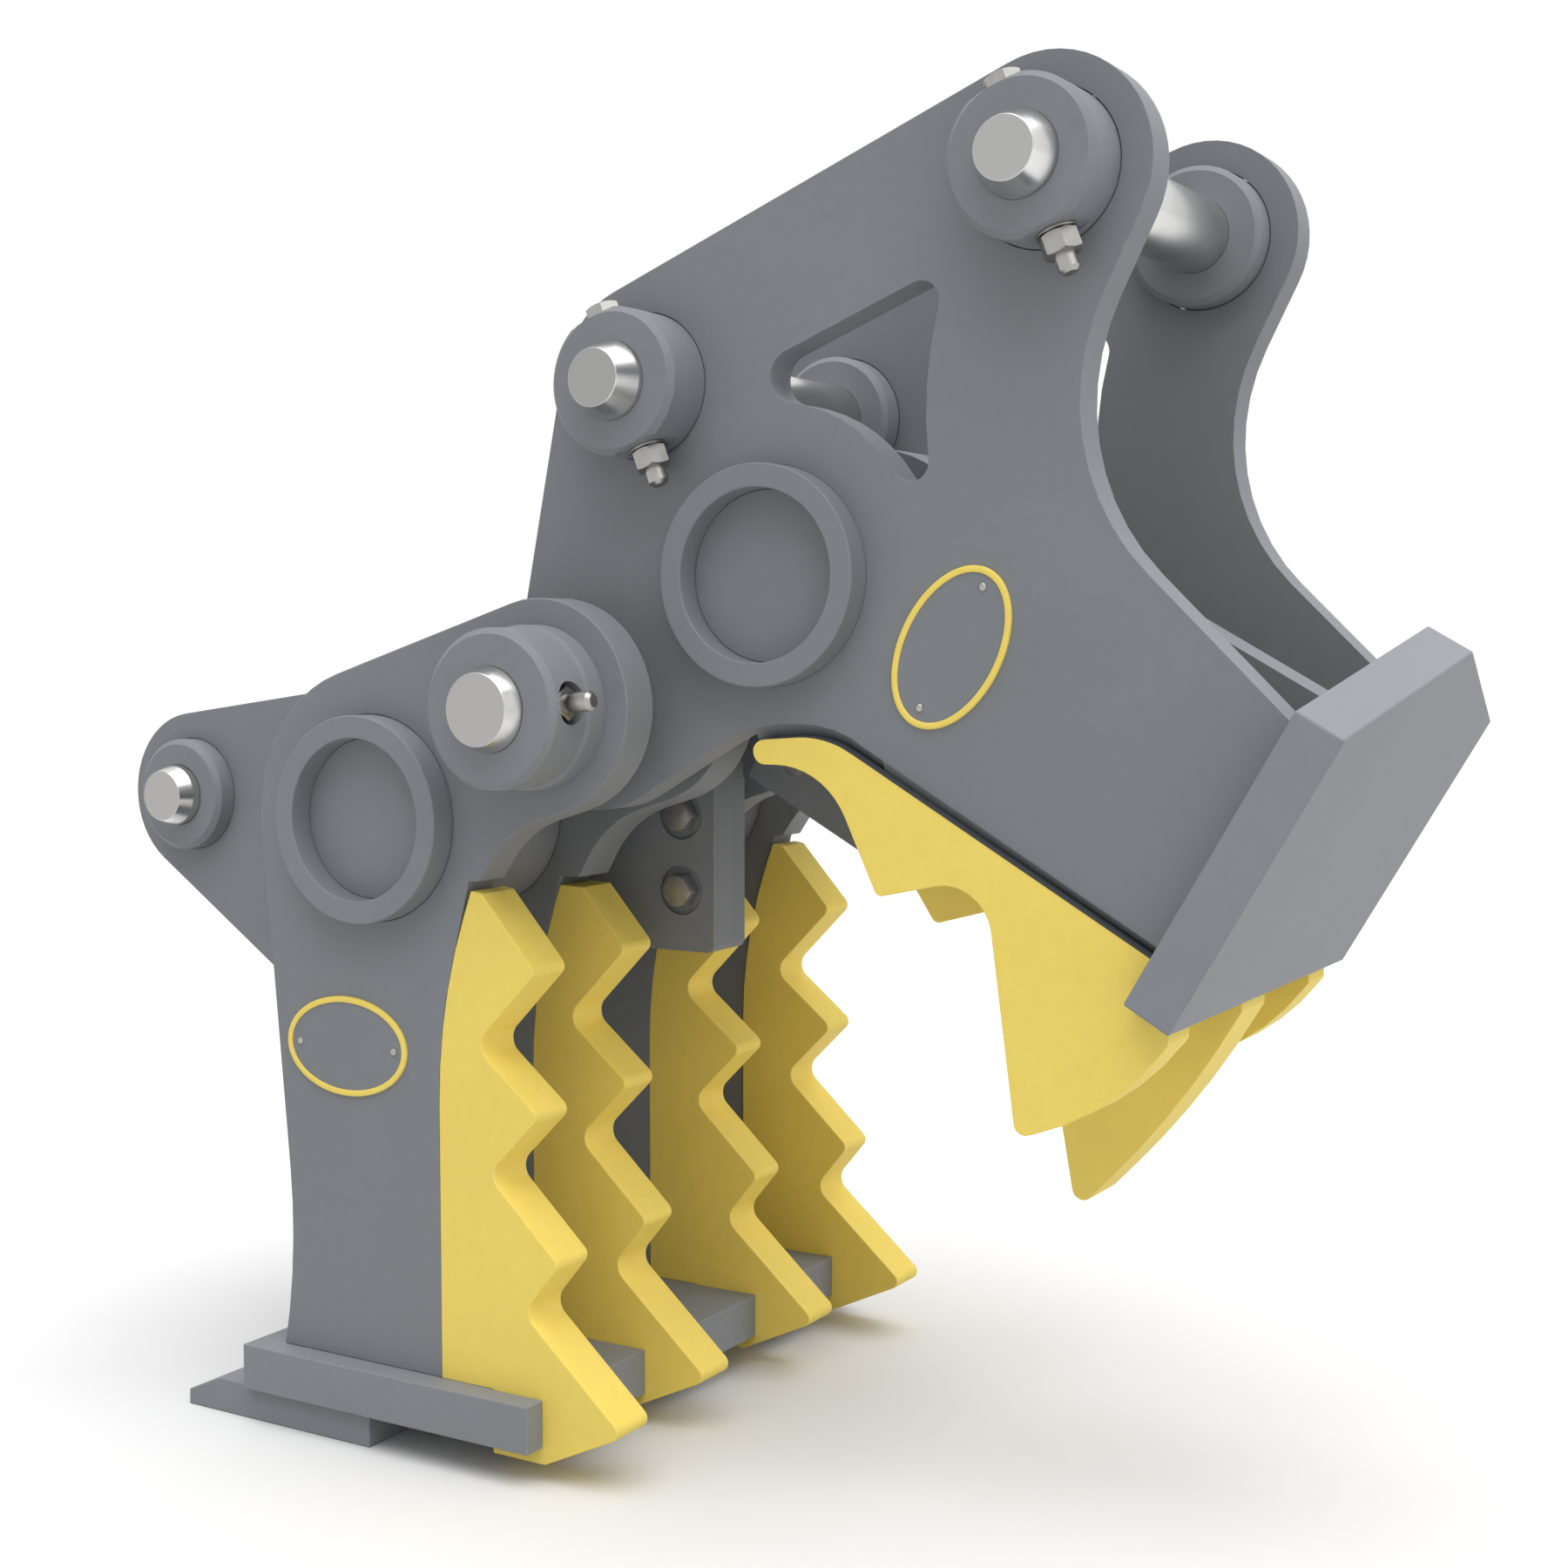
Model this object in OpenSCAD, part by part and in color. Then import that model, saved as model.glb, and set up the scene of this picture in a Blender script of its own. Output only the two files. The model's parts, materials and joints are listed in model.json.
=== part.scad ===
// Concrete pulverizer for an excavator of 20 to 25 tonnes.
// X points forward to the nose, Z up, Y to the left. The part's origin is the middle of the dipper pin.
// Outlines are drawn in the XZ plane from the main pivot, and place() moves them to the origin.

/* [Pivots, measured from the main pivot] */
// Dipper pin, forward
dipper_x = 62; // [50:1:75]
// Dipper pin, upward
dipper_z = 326; // [315:1:345]
// Link pin, forward
link_x = 505; // [495:1:525]
// Link pin, upward
link_z = 498; // [480:1:515]
// Strut pin, forward (it lies behind the pivot)
strut_x = -675; // [-720:1:-640]
// Strut pin, upward
strut_z = -122; // [-150:1:-90]
// Upper torque tube, forward
upper_tube_x = 211; // [205:1:220]
// Upper torque tube, upward
upper_tube_z = 131; // [125:1:140]
// Lower torque tube, forward
lower_tube_x = -221; // [-235:1:-212]
// Lower torque tube, upward
lower_tube_z = -121; // [-130:1:-110]

/* [Stack across the jaws] */
// Tongue that carries the lower cutter
carrier_t = 66; // [60:1:74]
// Gap between the two cutters as they pass
shear_gap = 2; // [1:0.5:4]
// Each cutter
cutter_t = 25; // [20:1:30]
// Bracket that carries the upper cutter
bracket_t = 25; // [20:1:30]
// Gap from that bracket to the inner plate of the lower jaw
bracket_gap = 4; // [3:1:8]
// Inner plates of the lower jaw, and the teeth on them
inner_plate_t = 55; // [45:1:60]
// Gap on each side of an upper tooth when the jaws are closed
tooth_side_gap = 38; // [30:1:45]
// Outer teeth of the upper jaw
upper_tooth_t = 55; // [50:1:65]
// Middle tooth of the upper jaw
middle_tooth_t = 70; // [60:1:80]
// Outer teeth of the lower jaw
lower_tooth_t = 55; // [50:1:60]
// Side plates of the upper jaw
upper_plate_t = 40; // [30:1:45]
// Side plates of the lower jaw
lower_plate_t = 45; // [35:1:50]
// Plate in the middle of the upper jaw
centre_plate_t = 54; // [40:1:60]
// Gap from the nose block to the outer lower teeth
nose_side_gap = 7; // [5:1:20]

/* [Pins and bosses] */
// Radius of the dipper and link pins
arm_pin_r = 40; // [35:1:45]
// Radius of their bosses
arm_boss_r = 74; // [68:1:80]
// Clear width between the bosses, for the dipper and the link
ear_gap = 316; // [280:1:340]
// How far these bosses stand out of the side plates
arm_boss_stand = 60; // [55:1:70]
// How far the pins stand out of the bosses
arm_pin_stand = 31; // [28:1:40]
// Length of the chamfer on the dipper and link pins
arm_chamfer_l = 26; // [10:1:28]
// Depth of the chamfer on the dipper and link pins
arm_chamfer_d = 11; // [5:1:15]
// Radius of the main pivot pin
pivot_pin_r = 43; // [38:1:48]
// Radius of the pivot bosses of the lower jaw
pivot_boss_r = 80; // [76:1:86]
// Length of these bosses
pivot_boss_l = 80; // [76:1:90]
// Length of the wider collar at their foot
pivot_collar_l = 23; // [15:1:27]
// How far that collar stands out round the boss
pivot_collar_step = 3; // [2:1:6]
// How far the pivot pin stands out of its bosses
pivot_pin_stand = 20; // [19:1:30]
// Length of the chamfer on the pivot and strut pins
pin_chamfer_l = 18; // [8:1:18]
// Depth of the chamfer on the pivot and strut pins
pin_chamfer_d = 7; // [4:1:10]
// Outer radius of the pivot hubs of the upper jaw
hub_r = 74; // [70:1:80]
// Wall of the pivot bushes
bush_wall = 10; // [7:1:14]
// Side clearance of the pivot hubs
hub_side_gap = 1; // [0.5:0.5:3]
// Radius of the strut pin
strut_pin_r = 37; // [32:1:42]
// Radius of the strut bosses
strut_boss_r = 68; // [62:1:76]
// How far the strut bosses stand out of the inner plates
strut_boss_stand = 26; // [20:1:32]
// Clear width between the strut bosses
strut_gap = 126; // [110:1:150]
// How far the strut pin stands out of its bosses
strut_pin_stand = 28; // [20:1:34]
// Chamfer round the boss faces
boss_chamfer = 6; // [2:1:8]
// Radial clearance of a pin that turns in its bush
running_fit = 0.05; // [0.03:0.01:0.09]
// Clearance of parts that are pressed, bolted or welded together
seat_gap = 0.2; // [0.1:0.1:0.5]

/* [Torque tubes] */
// Outer radius of both tubes
tube_r = 110; // [105:1:115]
// Wall of both tubes
tube_wall = 24; // [16:1:32]
// How far they stand out of the side plates
tube_stand = 30; // [24:1:36]
// Thickness of the end discs
cap_t = 12; // [8:1:20]
// How far the discs stand out of the side plates, inside the tube
cap_stand = 2; // [0:1:8]

/* [Plate outlines] */
// Radius of the plates of both jaws round the main pivot
pivot_eye_r = 110; // [100:1:115]
// Radius of the upper plates round the dipper and link pins
arm_eye_r = 105; // [100:1:110]
// Throat of the upper plates: centre and radius of the hollow arc
upper_throat = [232, -166, -150]; // [-300:1:300]
// Hollow front edge of the upper plates: centre and radius
upper_front = [762, 285, -220]; // [-300:1:900]
// Window: distance of its top edge from the line through the arm pins
window_top = 38; // [30:1:50]
// Window: wall left round the torque tube
window_tube_wall = 61; // [50:1:75]
// Window: wall left at the hollow front edge
window_front_wall = 157; // [140:1:175]
// Window: radii of its rear and upper corner
window_corner_r = [26, 20]; // [8:1:30]
// Window: how much wider than the neck between its two hollow edges the lower corner is, as a radius
window_low_r = 7; // [4:1:12]
// Radius of the lower plates round their torque tube
lower_tube_eye_r = 160; // [150:1:170]
// Hollow rear edge of the lower plates: centre and radius
lower_rear = [-1043, -575, -700]; // [-1200:1:0]
// Throat of the lower plates: centre and radius
lower_throat = [32, -231, -120]; // [-300:1:100]
// Front edge of the lower side plates, where the teeth are welded on
jaw_face_x = -133; // [-145:1:-125]
// Height at which that edge starts to curve forward
jaw_arc_z = -420; // [-440:1:-400]
// Radius of the curve
jaw_arc_r = 600; // [550:1:700]
// Height of the upper end of the edge
jaw_top_z = -181; // [-188:1:-175]
// Depth and width of the ledge at the upper end of the edge
jaw_ledge = [-91, -79]; // [-100:1:-70]
// How much lower the edge of the inner plates ends
inner_drop = 13; // [10:1:16]
// Where the ledge of the inner plates ends at the throat
inner_ledge_x = -85; // [-90:1:-83]
// How far the inner plates and teeth are set back from the outer ones
inner_setback = 19; // [0:1:30]
// Radius of the inner plates round the strut pin
strut_eye_r = 100; // [90:1:110]
// Where the top edge of the strut lug starts on the plate round the torque tube, as an angle
lug_root_a = 102.5; // [101:0.5:106]
// Hollow corner under the strut lug: centre and radius
strut_corner = [-406, -493, -60]; // [-500:1:0]

/* [Centre plate and nose block] */
// Radius of the centre plate round the torque tube
centre_eye_r = 142; // [130:1:150]
// Slope of the plates' lower edge above the teeth
tooth_line_a = 28.6; // [27:0.1:30]
// Length of that edge on the centre plate
centre_edge_l = 418; // [400:1:430]
// Lower rear corner of the nose block
nose_corner = [604, -259]; // [-300:1:650]
// Slope of the nose block
nose_a = 60; // [56:1:64]
// Length of its straight sides
nose_side_l = 308; // [300:1:330]
// Height of its pointed top
nose_point_l = 85; // [60:1:110]
// Thickness of the nose block
nose_t = 50; // [40:1:60]
// Where the plates start on the back of the nose block
nose_seat_low = 46; // [40:1:60]
// Length of the straight lower edge of the upper side plates, from the nose block
upper_edge_l = 322; // [315:1:330]
// Depth and height of the weld bevel along that edge
upper_bevel = 6; // [4:1:8]
// Where the plates end on the back of the nose block
nose_seat_high = 288; // [270:1:300]

/* [Upper teeth] */
// Tail under the throat: centre and radius
tail_end = [210, -43, 13]; // [-100:1:250]
// Hollow underside of the tail
tail_hollow = [224, -142, -86]; // [-200:1:300]
// Back of the tail
tail_back = [255, -136, 105]; // [-200:1:300]
// First point
first_point = [342, -172, 8]; // [-200:1:400]
// Hollow between the points
tooth_hollow = [411, -215, -49]; // [-300:1:500]
// Tip of the fang
fang_tip = [495, -386, 11]; // [-500:1:600]
// Curved front of the fang
fang_front = [429, -153, 253]; // [-200:1:500]
// Rear edge of the middle tooth
middle_rear = [[300, -42, 0], [280, -196, 4]]; // [-300:1:400]
// First point of the middle tooth
middle_first_point = [303, -222, 9]; // [-300:1:400]
// Hollow of the middle tooth
middle_hollow = [368, -262, -47]; // [-300:1:400]
// Tip of the middle fang
middle_tip = [470, -495, 12]; // [-500:1:600]
// Curved front of the middle fang
middle_front = [-165, 155, 920]; // [-500:1:1000]
// How far the upright front ends of the teeth lie behind the front of the nose block
tooth_end_inset = 11; // [8:1:14]

/* [Lower teeth] */
// Points of the saw edge, from the lowest up
saw_tips = [[101, -733], [22, -569], [-2, -419], [-5, -270]]; // [-800:1:120]
// Hollows between them, from the lowest up
saw_hollows = [[-24, -625], [-69, -486], [-85, -352]]; // [-800:1:120]
// Radius of the points
saw_tip_r = 10; // [5:1:12]
// Radius of the hollows
saw_hollow_r = 18; // [12:1:20]
// Flat top of the tooth plates: its two ends
saw_top = [[-74, -193], [-88, -191]]; // [-200:1:0]
// The same on the inner tooth plates, which end lower
inner_saw_top = [[-63, -205], [-93, -204]]; // [-210:1:0]
// Foot of the tooth plates: from the rear of the lug to the front
saw_foot = [-65, 2]; // [-70:1:10]
// Height of the underside of that foot
saw_foot_z = -780; // [-784:1:-772]

/* [Foot of the lower jaw] */
// Height of the top of the base plate
base_z = -712; // [-716:1:-708]
// Thickness of the base plate
base_t = 50; // [40:1:55]
// Rear edge of the base plate
base_rear_x = -394; // [-420:1:-370]
// Front edge of the base plate
base_front_x = 0; // [-6:1:2]
// How far the base plate stands out past the side plates
base_stand = 27; // [20:1:40]
// Thickness of the heel plate
heel_t = 38; // [30:1:45]
// Rear and front edges of the heel plate
heel_x = [-490, -221]; // [-520:1:-200]
// How far the heel plate is set in from the ends of the base plate
heel_set_in = 11; // [0:1:40]
// Length and depth of the bevel along its rear edge
heel_bevel = [47, 21]; // [10:1:60]

/* [Cutters] */
// Front and top of the lower cutter
cutter_corner = [20, -89]; // [-100:1:25]
// Length of the lower cutter
cutter_l = 196; // [188:1:200]
// Width of the lower cutter
cutter_w = 84; // [76:1:90]
// Height of the front corner of its carrier, above the cutter
carrier_top_z = -62; // [-68:1:-58]
// How far the cutter stands proud of the carrier on the shearing side
cutter_proud = 2.5; // [1:0.5:4]
// Rear lower corner of its carrier: centre and radius
carrier_corner = [-95, -265, 20]; // [-300:1:30]
// How thick the carrier is round the tube
carrier_ring = 30; // [20:1:36]
// Rounded corners of the lower cutter
cutter_corner_r = 10; // [4:1:14]
// Bolts of the lower cutter: behind its edge, and below its top
cutter_bolts = [[44, 41], [44, 127]]; // [30:1:130]
// Lower rear corner of the upper cutter
upper_cutter_corner = [24, -88]; // [-90:1:30]
// Length of the upper cutter
upper_cutter_l = 200; // [190:1:215]
// Width of the upper cutter
upper_cutter_w = 80; // [74:1:84]
// Bolts of the upper cutter along it, from its rear end
upper_cutter_bolts = [45, 145]; // [40:1:160]
// Height of these bolts above its lower edge
upper_cutter_bolt_up = 47; // [40:1:50]
// Cutting edge stands proud of the bracket by
edge_proud = 4; // [2:1:8]
// Radius of the cutter bolts
cutter_bolt_r = 12; // [10:1:14]
// Radius of their flat heads, flush with the cutters
cutter_head_r = 17; // [16:1:20]
// Height of these heads
cutter_head_h = 13; // [10:1:16]
// Radius of the nut recess in the carrier
nut_recess_r = 28; // [24:1:30]
// Depth of the nut recess in the carrier
nut_recess_d = 5.5; // [4:0.5:8]
// Width across flats of the cutter nuts
cutter_nut_af = 36; // [34:1:38]
// Height of the cutter nuts
cutter_nut_h = 19; // [16:1:24]
// Depth of the blind thread in these closed nuts
cutter_nut_bore = 14; // [12:1:16]

/* [Pin bolts] */
// Radius of the bolts that hold the pins
pin_bolt_r = 10; // [8:1:11]
// Width across flats of their heads and nuts
pin_nut_af = 30; // [28:1:32]
// Height of the heads
pin_head_h = 13; // [10:1:16]
// Height of the nuts
pin_nut_h = 18; // [14:1:20]
// How far the bolt ends stand out of the nuts
pin_stud = 15; // [8:1:20]
// Radius of the washers
washer_r = 19; // [18:1:22]
// Thickness of the washers
washer_t = 3; // [2:0.5:4]
// Distance of these bolts from the outer face of the boss
pin_bolt_inset = 30; // [24:1:36]
// Depth of the flats milled on the bosses for them
flat_depth = 5; // [4:1:8]
// Radius of the recesses in the pivot bosses
boss_recess_r = 21.5; // [21:0.5:24]
// Depth of these recesses
boss_recess_d = 22; // [20:1:26]
// Slope of the bolts through the pivot bosses
pivot_bolt_a = 5; // [-20:1:30]

/* [Hidden] */

// Finest step along an arc, in degrees, and longest chord
arc_step = 7.5;
chord_l = 45;
round_fn = 96;
left = 1;
right = -1;
paint = [0.49, 0.51, 0.53];
yellow = [0.94, 0.86, 0.42];
bright = [0.8, 0.8, 0.8];
zinc = [0.65, 0.62, 0.58];
bronze = [0.72, 0.55, 0.3];

// Pivots and tube centres as [x, z] points
pivot = [0, 0];
dipper = [dipper_x, dipper_z];
link = [link_x, link_z];
strut = [strut_x, strut_z];
upper_tube = [upper_tube_x, upper_tube_z];
lower_tube = [lower_tube_x, lower_tube_z];

// Faces across the jaws, each as a distance from the middle plane
shear_y = carrier_t / 2;
upper_cutter_y = shear_y + shear_gap;
bracket_y = upper_cutter_y + cutter_t;
inner_y0 = bracket_y + bracket_t + bracket_gap;
inner_y1 = inner_y0 + inner_plate_t;
upper_tooth_y0 = inner_y1 + tooth_side_gap;
upper_tooth_y1 = upper_tooth_y0 + upper_tooth_t;
upper_plate_y0 = (upper_tooth_y0 + upper_tooth_y1 - upper_plate_t) / 2;
upper_plate_y1 = upper_plate_y0 + upper_plate_t;
lower_tooth_y0 = upper_tooth_y1 + tooth_side_gap;
lower_y1 = lower_tooth_y0 + lower_tooth_t;
lower_y0 = lower_y1 - lower_plate_t;
arm_boss_y = upper_plate_y1 + arm_boss_stand;
arm_bolt_y = arm_boss_y - pin_bolt_inset;
pivot_boss_y = lower_y1 + pivot_boss_l;
pivot_bolt_y = pivot_boss_y - pin_bolt_inset;
strut_boss_y = inner_y1 + strut_boss_stand;
nose_y = lower_tooth_y0 - nose_side_gap;
base_y = lower_y1 + base_stand;

// Directions: along the two arm pins, along the teeth, along and out of the nose block
arm_a = atan2(link_z - dipper_z, link_x - dipper_x);
arm_dir = [cos(arm_a), sin(arm_a)];
arm_down = [sin(arm_a), -cos(arm_a)];
tooth_dir = [cos(tooth_line_a), -sin(tooth_line_a)];
tooth_up = [sin(tooth_line_a), cos(tooth_line_a)];
nose_dir = [cos(nose_a), sin(nose_a)];
nose_out = [sin(nose_a), -cos(nose_a)];
arm_bolt_a = arm_a - 90;
bush_r = pivot_pin_r + running_fit;
hub_bore_r = bush_r + bush_wall;
nut_end = washer_t + pin_nut_h;

function turn_of(a) = let (m = a - 360 * floor(a / 360)) m > 359.99 ? 0 : m;
function unit(v) = v / norm(v);
function sharp(p) = [p[0], p[1], 0];
function round_at(p, r) = [p[0], p[1], r];
function moved(c, dx) = [for (p = c) [p[0] + dx, p[1], p[2]]];

// Outline of tangent circles [x, z, r], anticlockwise: r > 0 bulges, r < 0 is hollow, 0 is a corner.
// facing() is the direction in which the straight edge between two circles faces.
function facing(a, b) =
    let (d = [b[0] - a[0], b[1] - a[1]])
    atan2(d[1], d[0]) - acos(max(-1, min(1, (a[2] - b[2]) / norm(d))));
function arc_points(c, from, to) =
    let (turn = c[2] > 0 ? turn_of(to - from) : -turn_of(from - to))
    let (length = abs(turn * c[2]) * PI / 180)
    let (steps = max(1, ceil(abs(turn) / arc_step), ceil(length / chord_l)))
    c[2] == 0 || length < 0.05 ? [[c[0] + c[2] * cos(from), c[1] + c[2] * sin(from)]]
    : [for (i = [0:steps]) let (a = from + turn * i / steps) [c[0] + c[2] * cos(a), c[1] + c[2] * sin(a)]];
function outline(c) =
    let (n = len(c))
    [for (i = [0:n - 1])
        each arc_points(c[i], facing(c[(i + n - 1) % n], c[i]), facing(c[i], c[(i + 1) % n]))];

// Circle that rounds the corner p between its neighbours a and b with the radius p[2]
function rounding(a, p, b) =
    let (u = unit([p[0] - a[0], p[1] - a[1]]), v = unit([b[0] - p[0], b[1] - p[1]]))
    let (c = [p[0], p[1]] + unit(v - u) * p[2] / cos(acos(u * v) / 2))
    [c[0], c[1], cross(u, v) > 0 ? p[2] : -p[2]];
function rounded(p) =
    [for (i = [0:len(p) - 1]) p[i][2] == 0 ? p[i] : rounding(p[i - 1], p[i], p[i + 1])];

// Point on a line at the distance r from c, and the point where two circles meet on the left
function on_line(p, d, c, r) =
    let (t = (c - p) * d)
    p + d * (t + sqrt(r * r - norm(c - p - t * d) ^ 2));
function before_line(p, d, c, r) =
    let (t = (c - p) * d)
    p + d * (t - sqrt(r * r - norm(c - p - t * d) ^ 2));
function meet(a, ra, b, rb) =
    let (d = norm(b - a), u = (b - a) / d, t = (ra * ra - rb * rb + d * d) / (2 * d))
    a + u * t + [-u[1], u[0]] * sqrt(ra * ra - t * t);

// A point on the back face of the nose block, and one on its front face
function nose_back(s) = nose_corner + nose_dir * s;
function nose_front(s) = nose_back(s) + nose_out * nose_t;

// Moves from the main pivot to the origin at the dipper pin
module place() {
    translate([-dipper_x, 0, -dipper_z]) children();
}

module on_side(side) {
    if (side > 0) children();
    else mirror([0, 1, 0]) children();
}

// Plate between two distances from the middle plane, with its outline as child
module slab(y0, y1) {
    place() translate([0, y1, 0]) rotate([90, 0, 0]) linear_extrude(y1 - y0) children();
}

// Round bar or hole across the jaws
module across(p, r, y0, y1) {
    place() translate([p[0], y0, p[1]]) rotate([-90, 0, 0]) cylinder(r = r, h = y1 - y0, $fn = round_fn);
}

// Ring turned about an axis across the jaws, with its section [radius, y] as points
module turned(p, section) {
    place() translate([p[0], 0, p[1]]) rotate([-90, 0, 0]) rotate_extrude($fn = round_fn) polygon(section);
}

// Puts its child's Z axis in the plane of the plates, at the slope a
module cross_axis(p, y, a) {
    place() translate([p[0], y, p[1]]) rotate([0, 90 - a, 0]) children();
}

module pin(p, r, y, chamfer_l, chamfer_d) {
    turned(p, [[0, -y], [r - chamfer_d, -y], [r, -y + chamfer_l],
        [r, y - chamfer_l], [r - chamfer_d, y], [0, y]]);
}

module hexagon(af, h) {
    cylinder(r = af / sqrt(3), h = h, $fn = 6);
}

// Bolt along Z with its head below zero, shank l and a chamfered end
module hex_bolt(r, af, head_h, l) {
    translate([0, 0, -head_h]) hexagon(af, head_h);
    cylinder(r = r, h = l - r / 3, $fn = 48);
    translate([0, 0, l - r / 3]) cylinder(r1 = r, r2 = r * 0.65, h = r / 3, $fn = 48);
}

module hex_nut(r, af, h) {
    difference() {
        hexagon(af, h);
        translate([0, 0, -1]) cylinder(r = r + seat_gap, h = h + 2, $fn = 48);
    }
}

// Outlines of the upper jaw
module upper_plate_shape() {
    front_centre = [upper_front[0], upper_front[1]];
    window_line = dipper + arm_down * window_top;
    rear_r = window_corner_r[0];
    top_r = window_corner_r[1];
    under_r = tube_r + window_tube_wall;
    front_r = window_front_wall - upper_front[2];
    low_r = (norm(front_centre - upper_tube) - under_r - front_r) / 2 + window_low_r;
    rear = on_line(window_line + arm_down * rear_r, arm_dir, upper_tube, under_r + rear_r);
    low = meet(upper_tube, under_r + low_r, front_centre, front_r + low_r);
    top = before_line(window_line + arm_down * top_r, arm_dir, front_centre, front_r + top_r);
    seam = nose_back(nose_seat_low);
    difference() {
        polygon(outline([round_at(pivot, pivot_eye_r), upper_throat, sharp(seam - tooth_dir * upper_edge_l),
            sharp(seam), sharp(nose_back(nose_seat_high)), upper_front,
            round_at(link, arm_eye_r), round_at(dipper, arm_eye_r)]));
        polygon(outline([round_at(rear, rear_r), round_at(upper_tube, -under_r), round_at(low, low_r),
            round_at(front_centre, -front_r), round_at(top, top_r)]));
    }
}

module centre_plate_shape() {
    low = nose_back(nose_seat_low);
    polygon(outline([round_at(upper_tube, centre_eye_r), sharp(low - tooth_dir * centre_edge_l),
        sharp(low), sharp(nose_back(nose_seat_high))]));
}

// Front end of an upper tooth: the curved front c meets an upright edge below the nose block
function tooth_end(c) =
    let (x = nose_front(0)[0] - tooth_end_inset)
    [[x, c[1] - sqrt(c[2] ^ 2 - (x - c[0]) ^ 2) - seat_gap, 0],
        sharp(nose_corner + nose_out * (x - nose_corner[0]) / nose_out[0])];

// The teeth reach under the nose block and a little up its back, just below the plates' edge
module upper_tooth_shape() {
    top = nose_back(nose_seat_low) - tooth_up * seat_gap;
    polygon(outline([tail_end, tail_hollow, first_point, tooth_hollow, fang_tip, fang_front,
        each tooth_end(fang_front), sharp(nose_corner), sharp(top), tail_back]));
}

module middle_tooth_shape() {
    top = nose_back(nose_seat_low) - tooth_up * seat_gap;
    polygon(outline([middle_rear[0], middle_rear[1], middle_first_point, middle_hollow, middle_tip,
        middle_front, each tooth_end(middle_front), sharp(nose_corner), sharp(top)]));
}

// Outlines of the lower jaw
function rear_foot() = let (h = base_z - lower_rear[1]) [lower_rear[0] + sqrt(lower_rear[2] ^ 2 - h * h), base_z];
function jaw_arc(r) = [jaw_face_x + jaw_arc_r, jaw_arc_z, r];

module lower_plate_shape() {
    polygon(outline([round_at(pivot, pivot_eye_r), round_at(lower_tube, lower_tube_eye_r), lower_rear,
        sharp(rear_foot()), [jaw_face_x, base_z, 0], jaw_arc(-jaw_arc_r),
        [jaw_ledge[0], jaw_top_z, 0], [jaw_ledge[1], jaw_top_z, 0], lower_throat]));
}

module inner_plate_shape() {
    top_z = jaw_top_z - inner_drop;
    front = moved([[jaw_face_x, base_z, 0], jaw_arc(-jaw_arc_r), [jaw_ledge[0], top_z, 0]], -inner_setback);
    lug_root = lower_tube + [cos(lug_root_a), sin(lug_root_a)] * lower_tube_eye_r;
    polygon(outline(concat([round_at(pivot, pivot_eye_r), sharp(lug_root), round_at(strut, strut_eye_r),
        strut_corner, lower_rear, sharp(rear_foot())], front, [[inner_ledge_x, top_z, 0], lower_throat])));
}

// Saw-edged tooth plate: points and hollows in turn, with a lug that goes down through the base plate
module saw_shape(top_ends, setback) {
    last = len(saw_tips) - 1;
    edge = [for (i = [0:last]) each concat([round_at(saw_tips[i], saw_tip_r)],
        i < last ? [round_at(saw_hollows[i], saw_hollow_r)] : [])];
    foot = [[jaw_face_x + seat_gap, base_z, 0], [saw_foot[0], base_z, 0],
        [saw_foot[0], saw_foot_z, 0], [saw_foot[1], saw_foot_z, 0]];
    top = [sharp(top_ends[0]), sharp(top_ends[1])];
    polygon(outline(moved(concat(rounded(concat(foot, edge, top)), [jaw_arc(jaw_arc_r - seat_gap)]), -setback)));
}

// Shapes of the cutters and what carries them
module carrier_shape() {
    front = cutter_corner[0] - cutter_corner_r;
    polygon(outline([round_at(lower_tube, tube_r + carrier_ring), carrier_corner,
        [front, cutter_corner[1] - cutter_l + cutter_corner_r, cutter_corner_r],
        [front, carrier_top_z - cutter_corner_r, cutter_corner_r]]));
}

module lower_cutter_area(gap) {
    translate(cutter_corner - [cutter_w + gap, cutter_l + gap]) square([cutter_w + 2 * gap, cutter_l + 2 * gap]);
}

function upper_cutter_at(along, up) = upper_cutter_corner + tooth_dir * along + tooth_up * up;

module bracket_shape() {
    polygon(outline([round_at(upper_tube, centre_eye_r), sharp(upper_cutter_at(edge_proud, upper_cutter_w)),
        sharp(upper_cutter_at(edge_proud, edge_proud)), sharp(upper_cutter_at(upper_cutter_l, edge_proud))]));
}

// Upper jaw
module upper_side_plate(side) {
    color(paint) on_side(side) difference() {
        slab(upper_plate_y0, upper_plate_y1) upper_plate_shape();
        across(pivot, hub_r + seat_gap, 0, base_y);
        across(dipper, arm_boss_r + seat_gap, 0, base_y);
        across(link, arm_boss_r + seat_gap, 0, base_y);
        across(upper_tube, tube_r + seat_gap, 0, base_y);
        lower_edge_bevel();
    }
}

// Corner that the bevel takes off the outer lower edge of an upper side plate
module lower_edge_bevel() {
    seam = nose_back(nose_seat_low);
    cut = upper_bevel + 1;
    place() translate([seam[0], upper_plate_y1, seam[1]]) rotate([0, tooth_line_a, 0])
        translate([-upper_edge_l - upper_bevel, 0, 0]) rotate([90, 0, 90])
            linear_extrude(upper_edge_l + 2 * nose_t) polygon([[-cut, -1], [1, -1], [1, cut]]);
}

module torque_tube(p, y) {
    color(paint) turned(p, [[tube_r - tube_wall, -y], [tube_r, -y], [tube_r, y], [tube_r - tube_wall, y]]);
}

module tube_cap(p, y, side) {
    color(paint) on_side(side) across(p, tube_r - tube_wall - seat_gap, y - cap_t, y);
}

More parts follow.
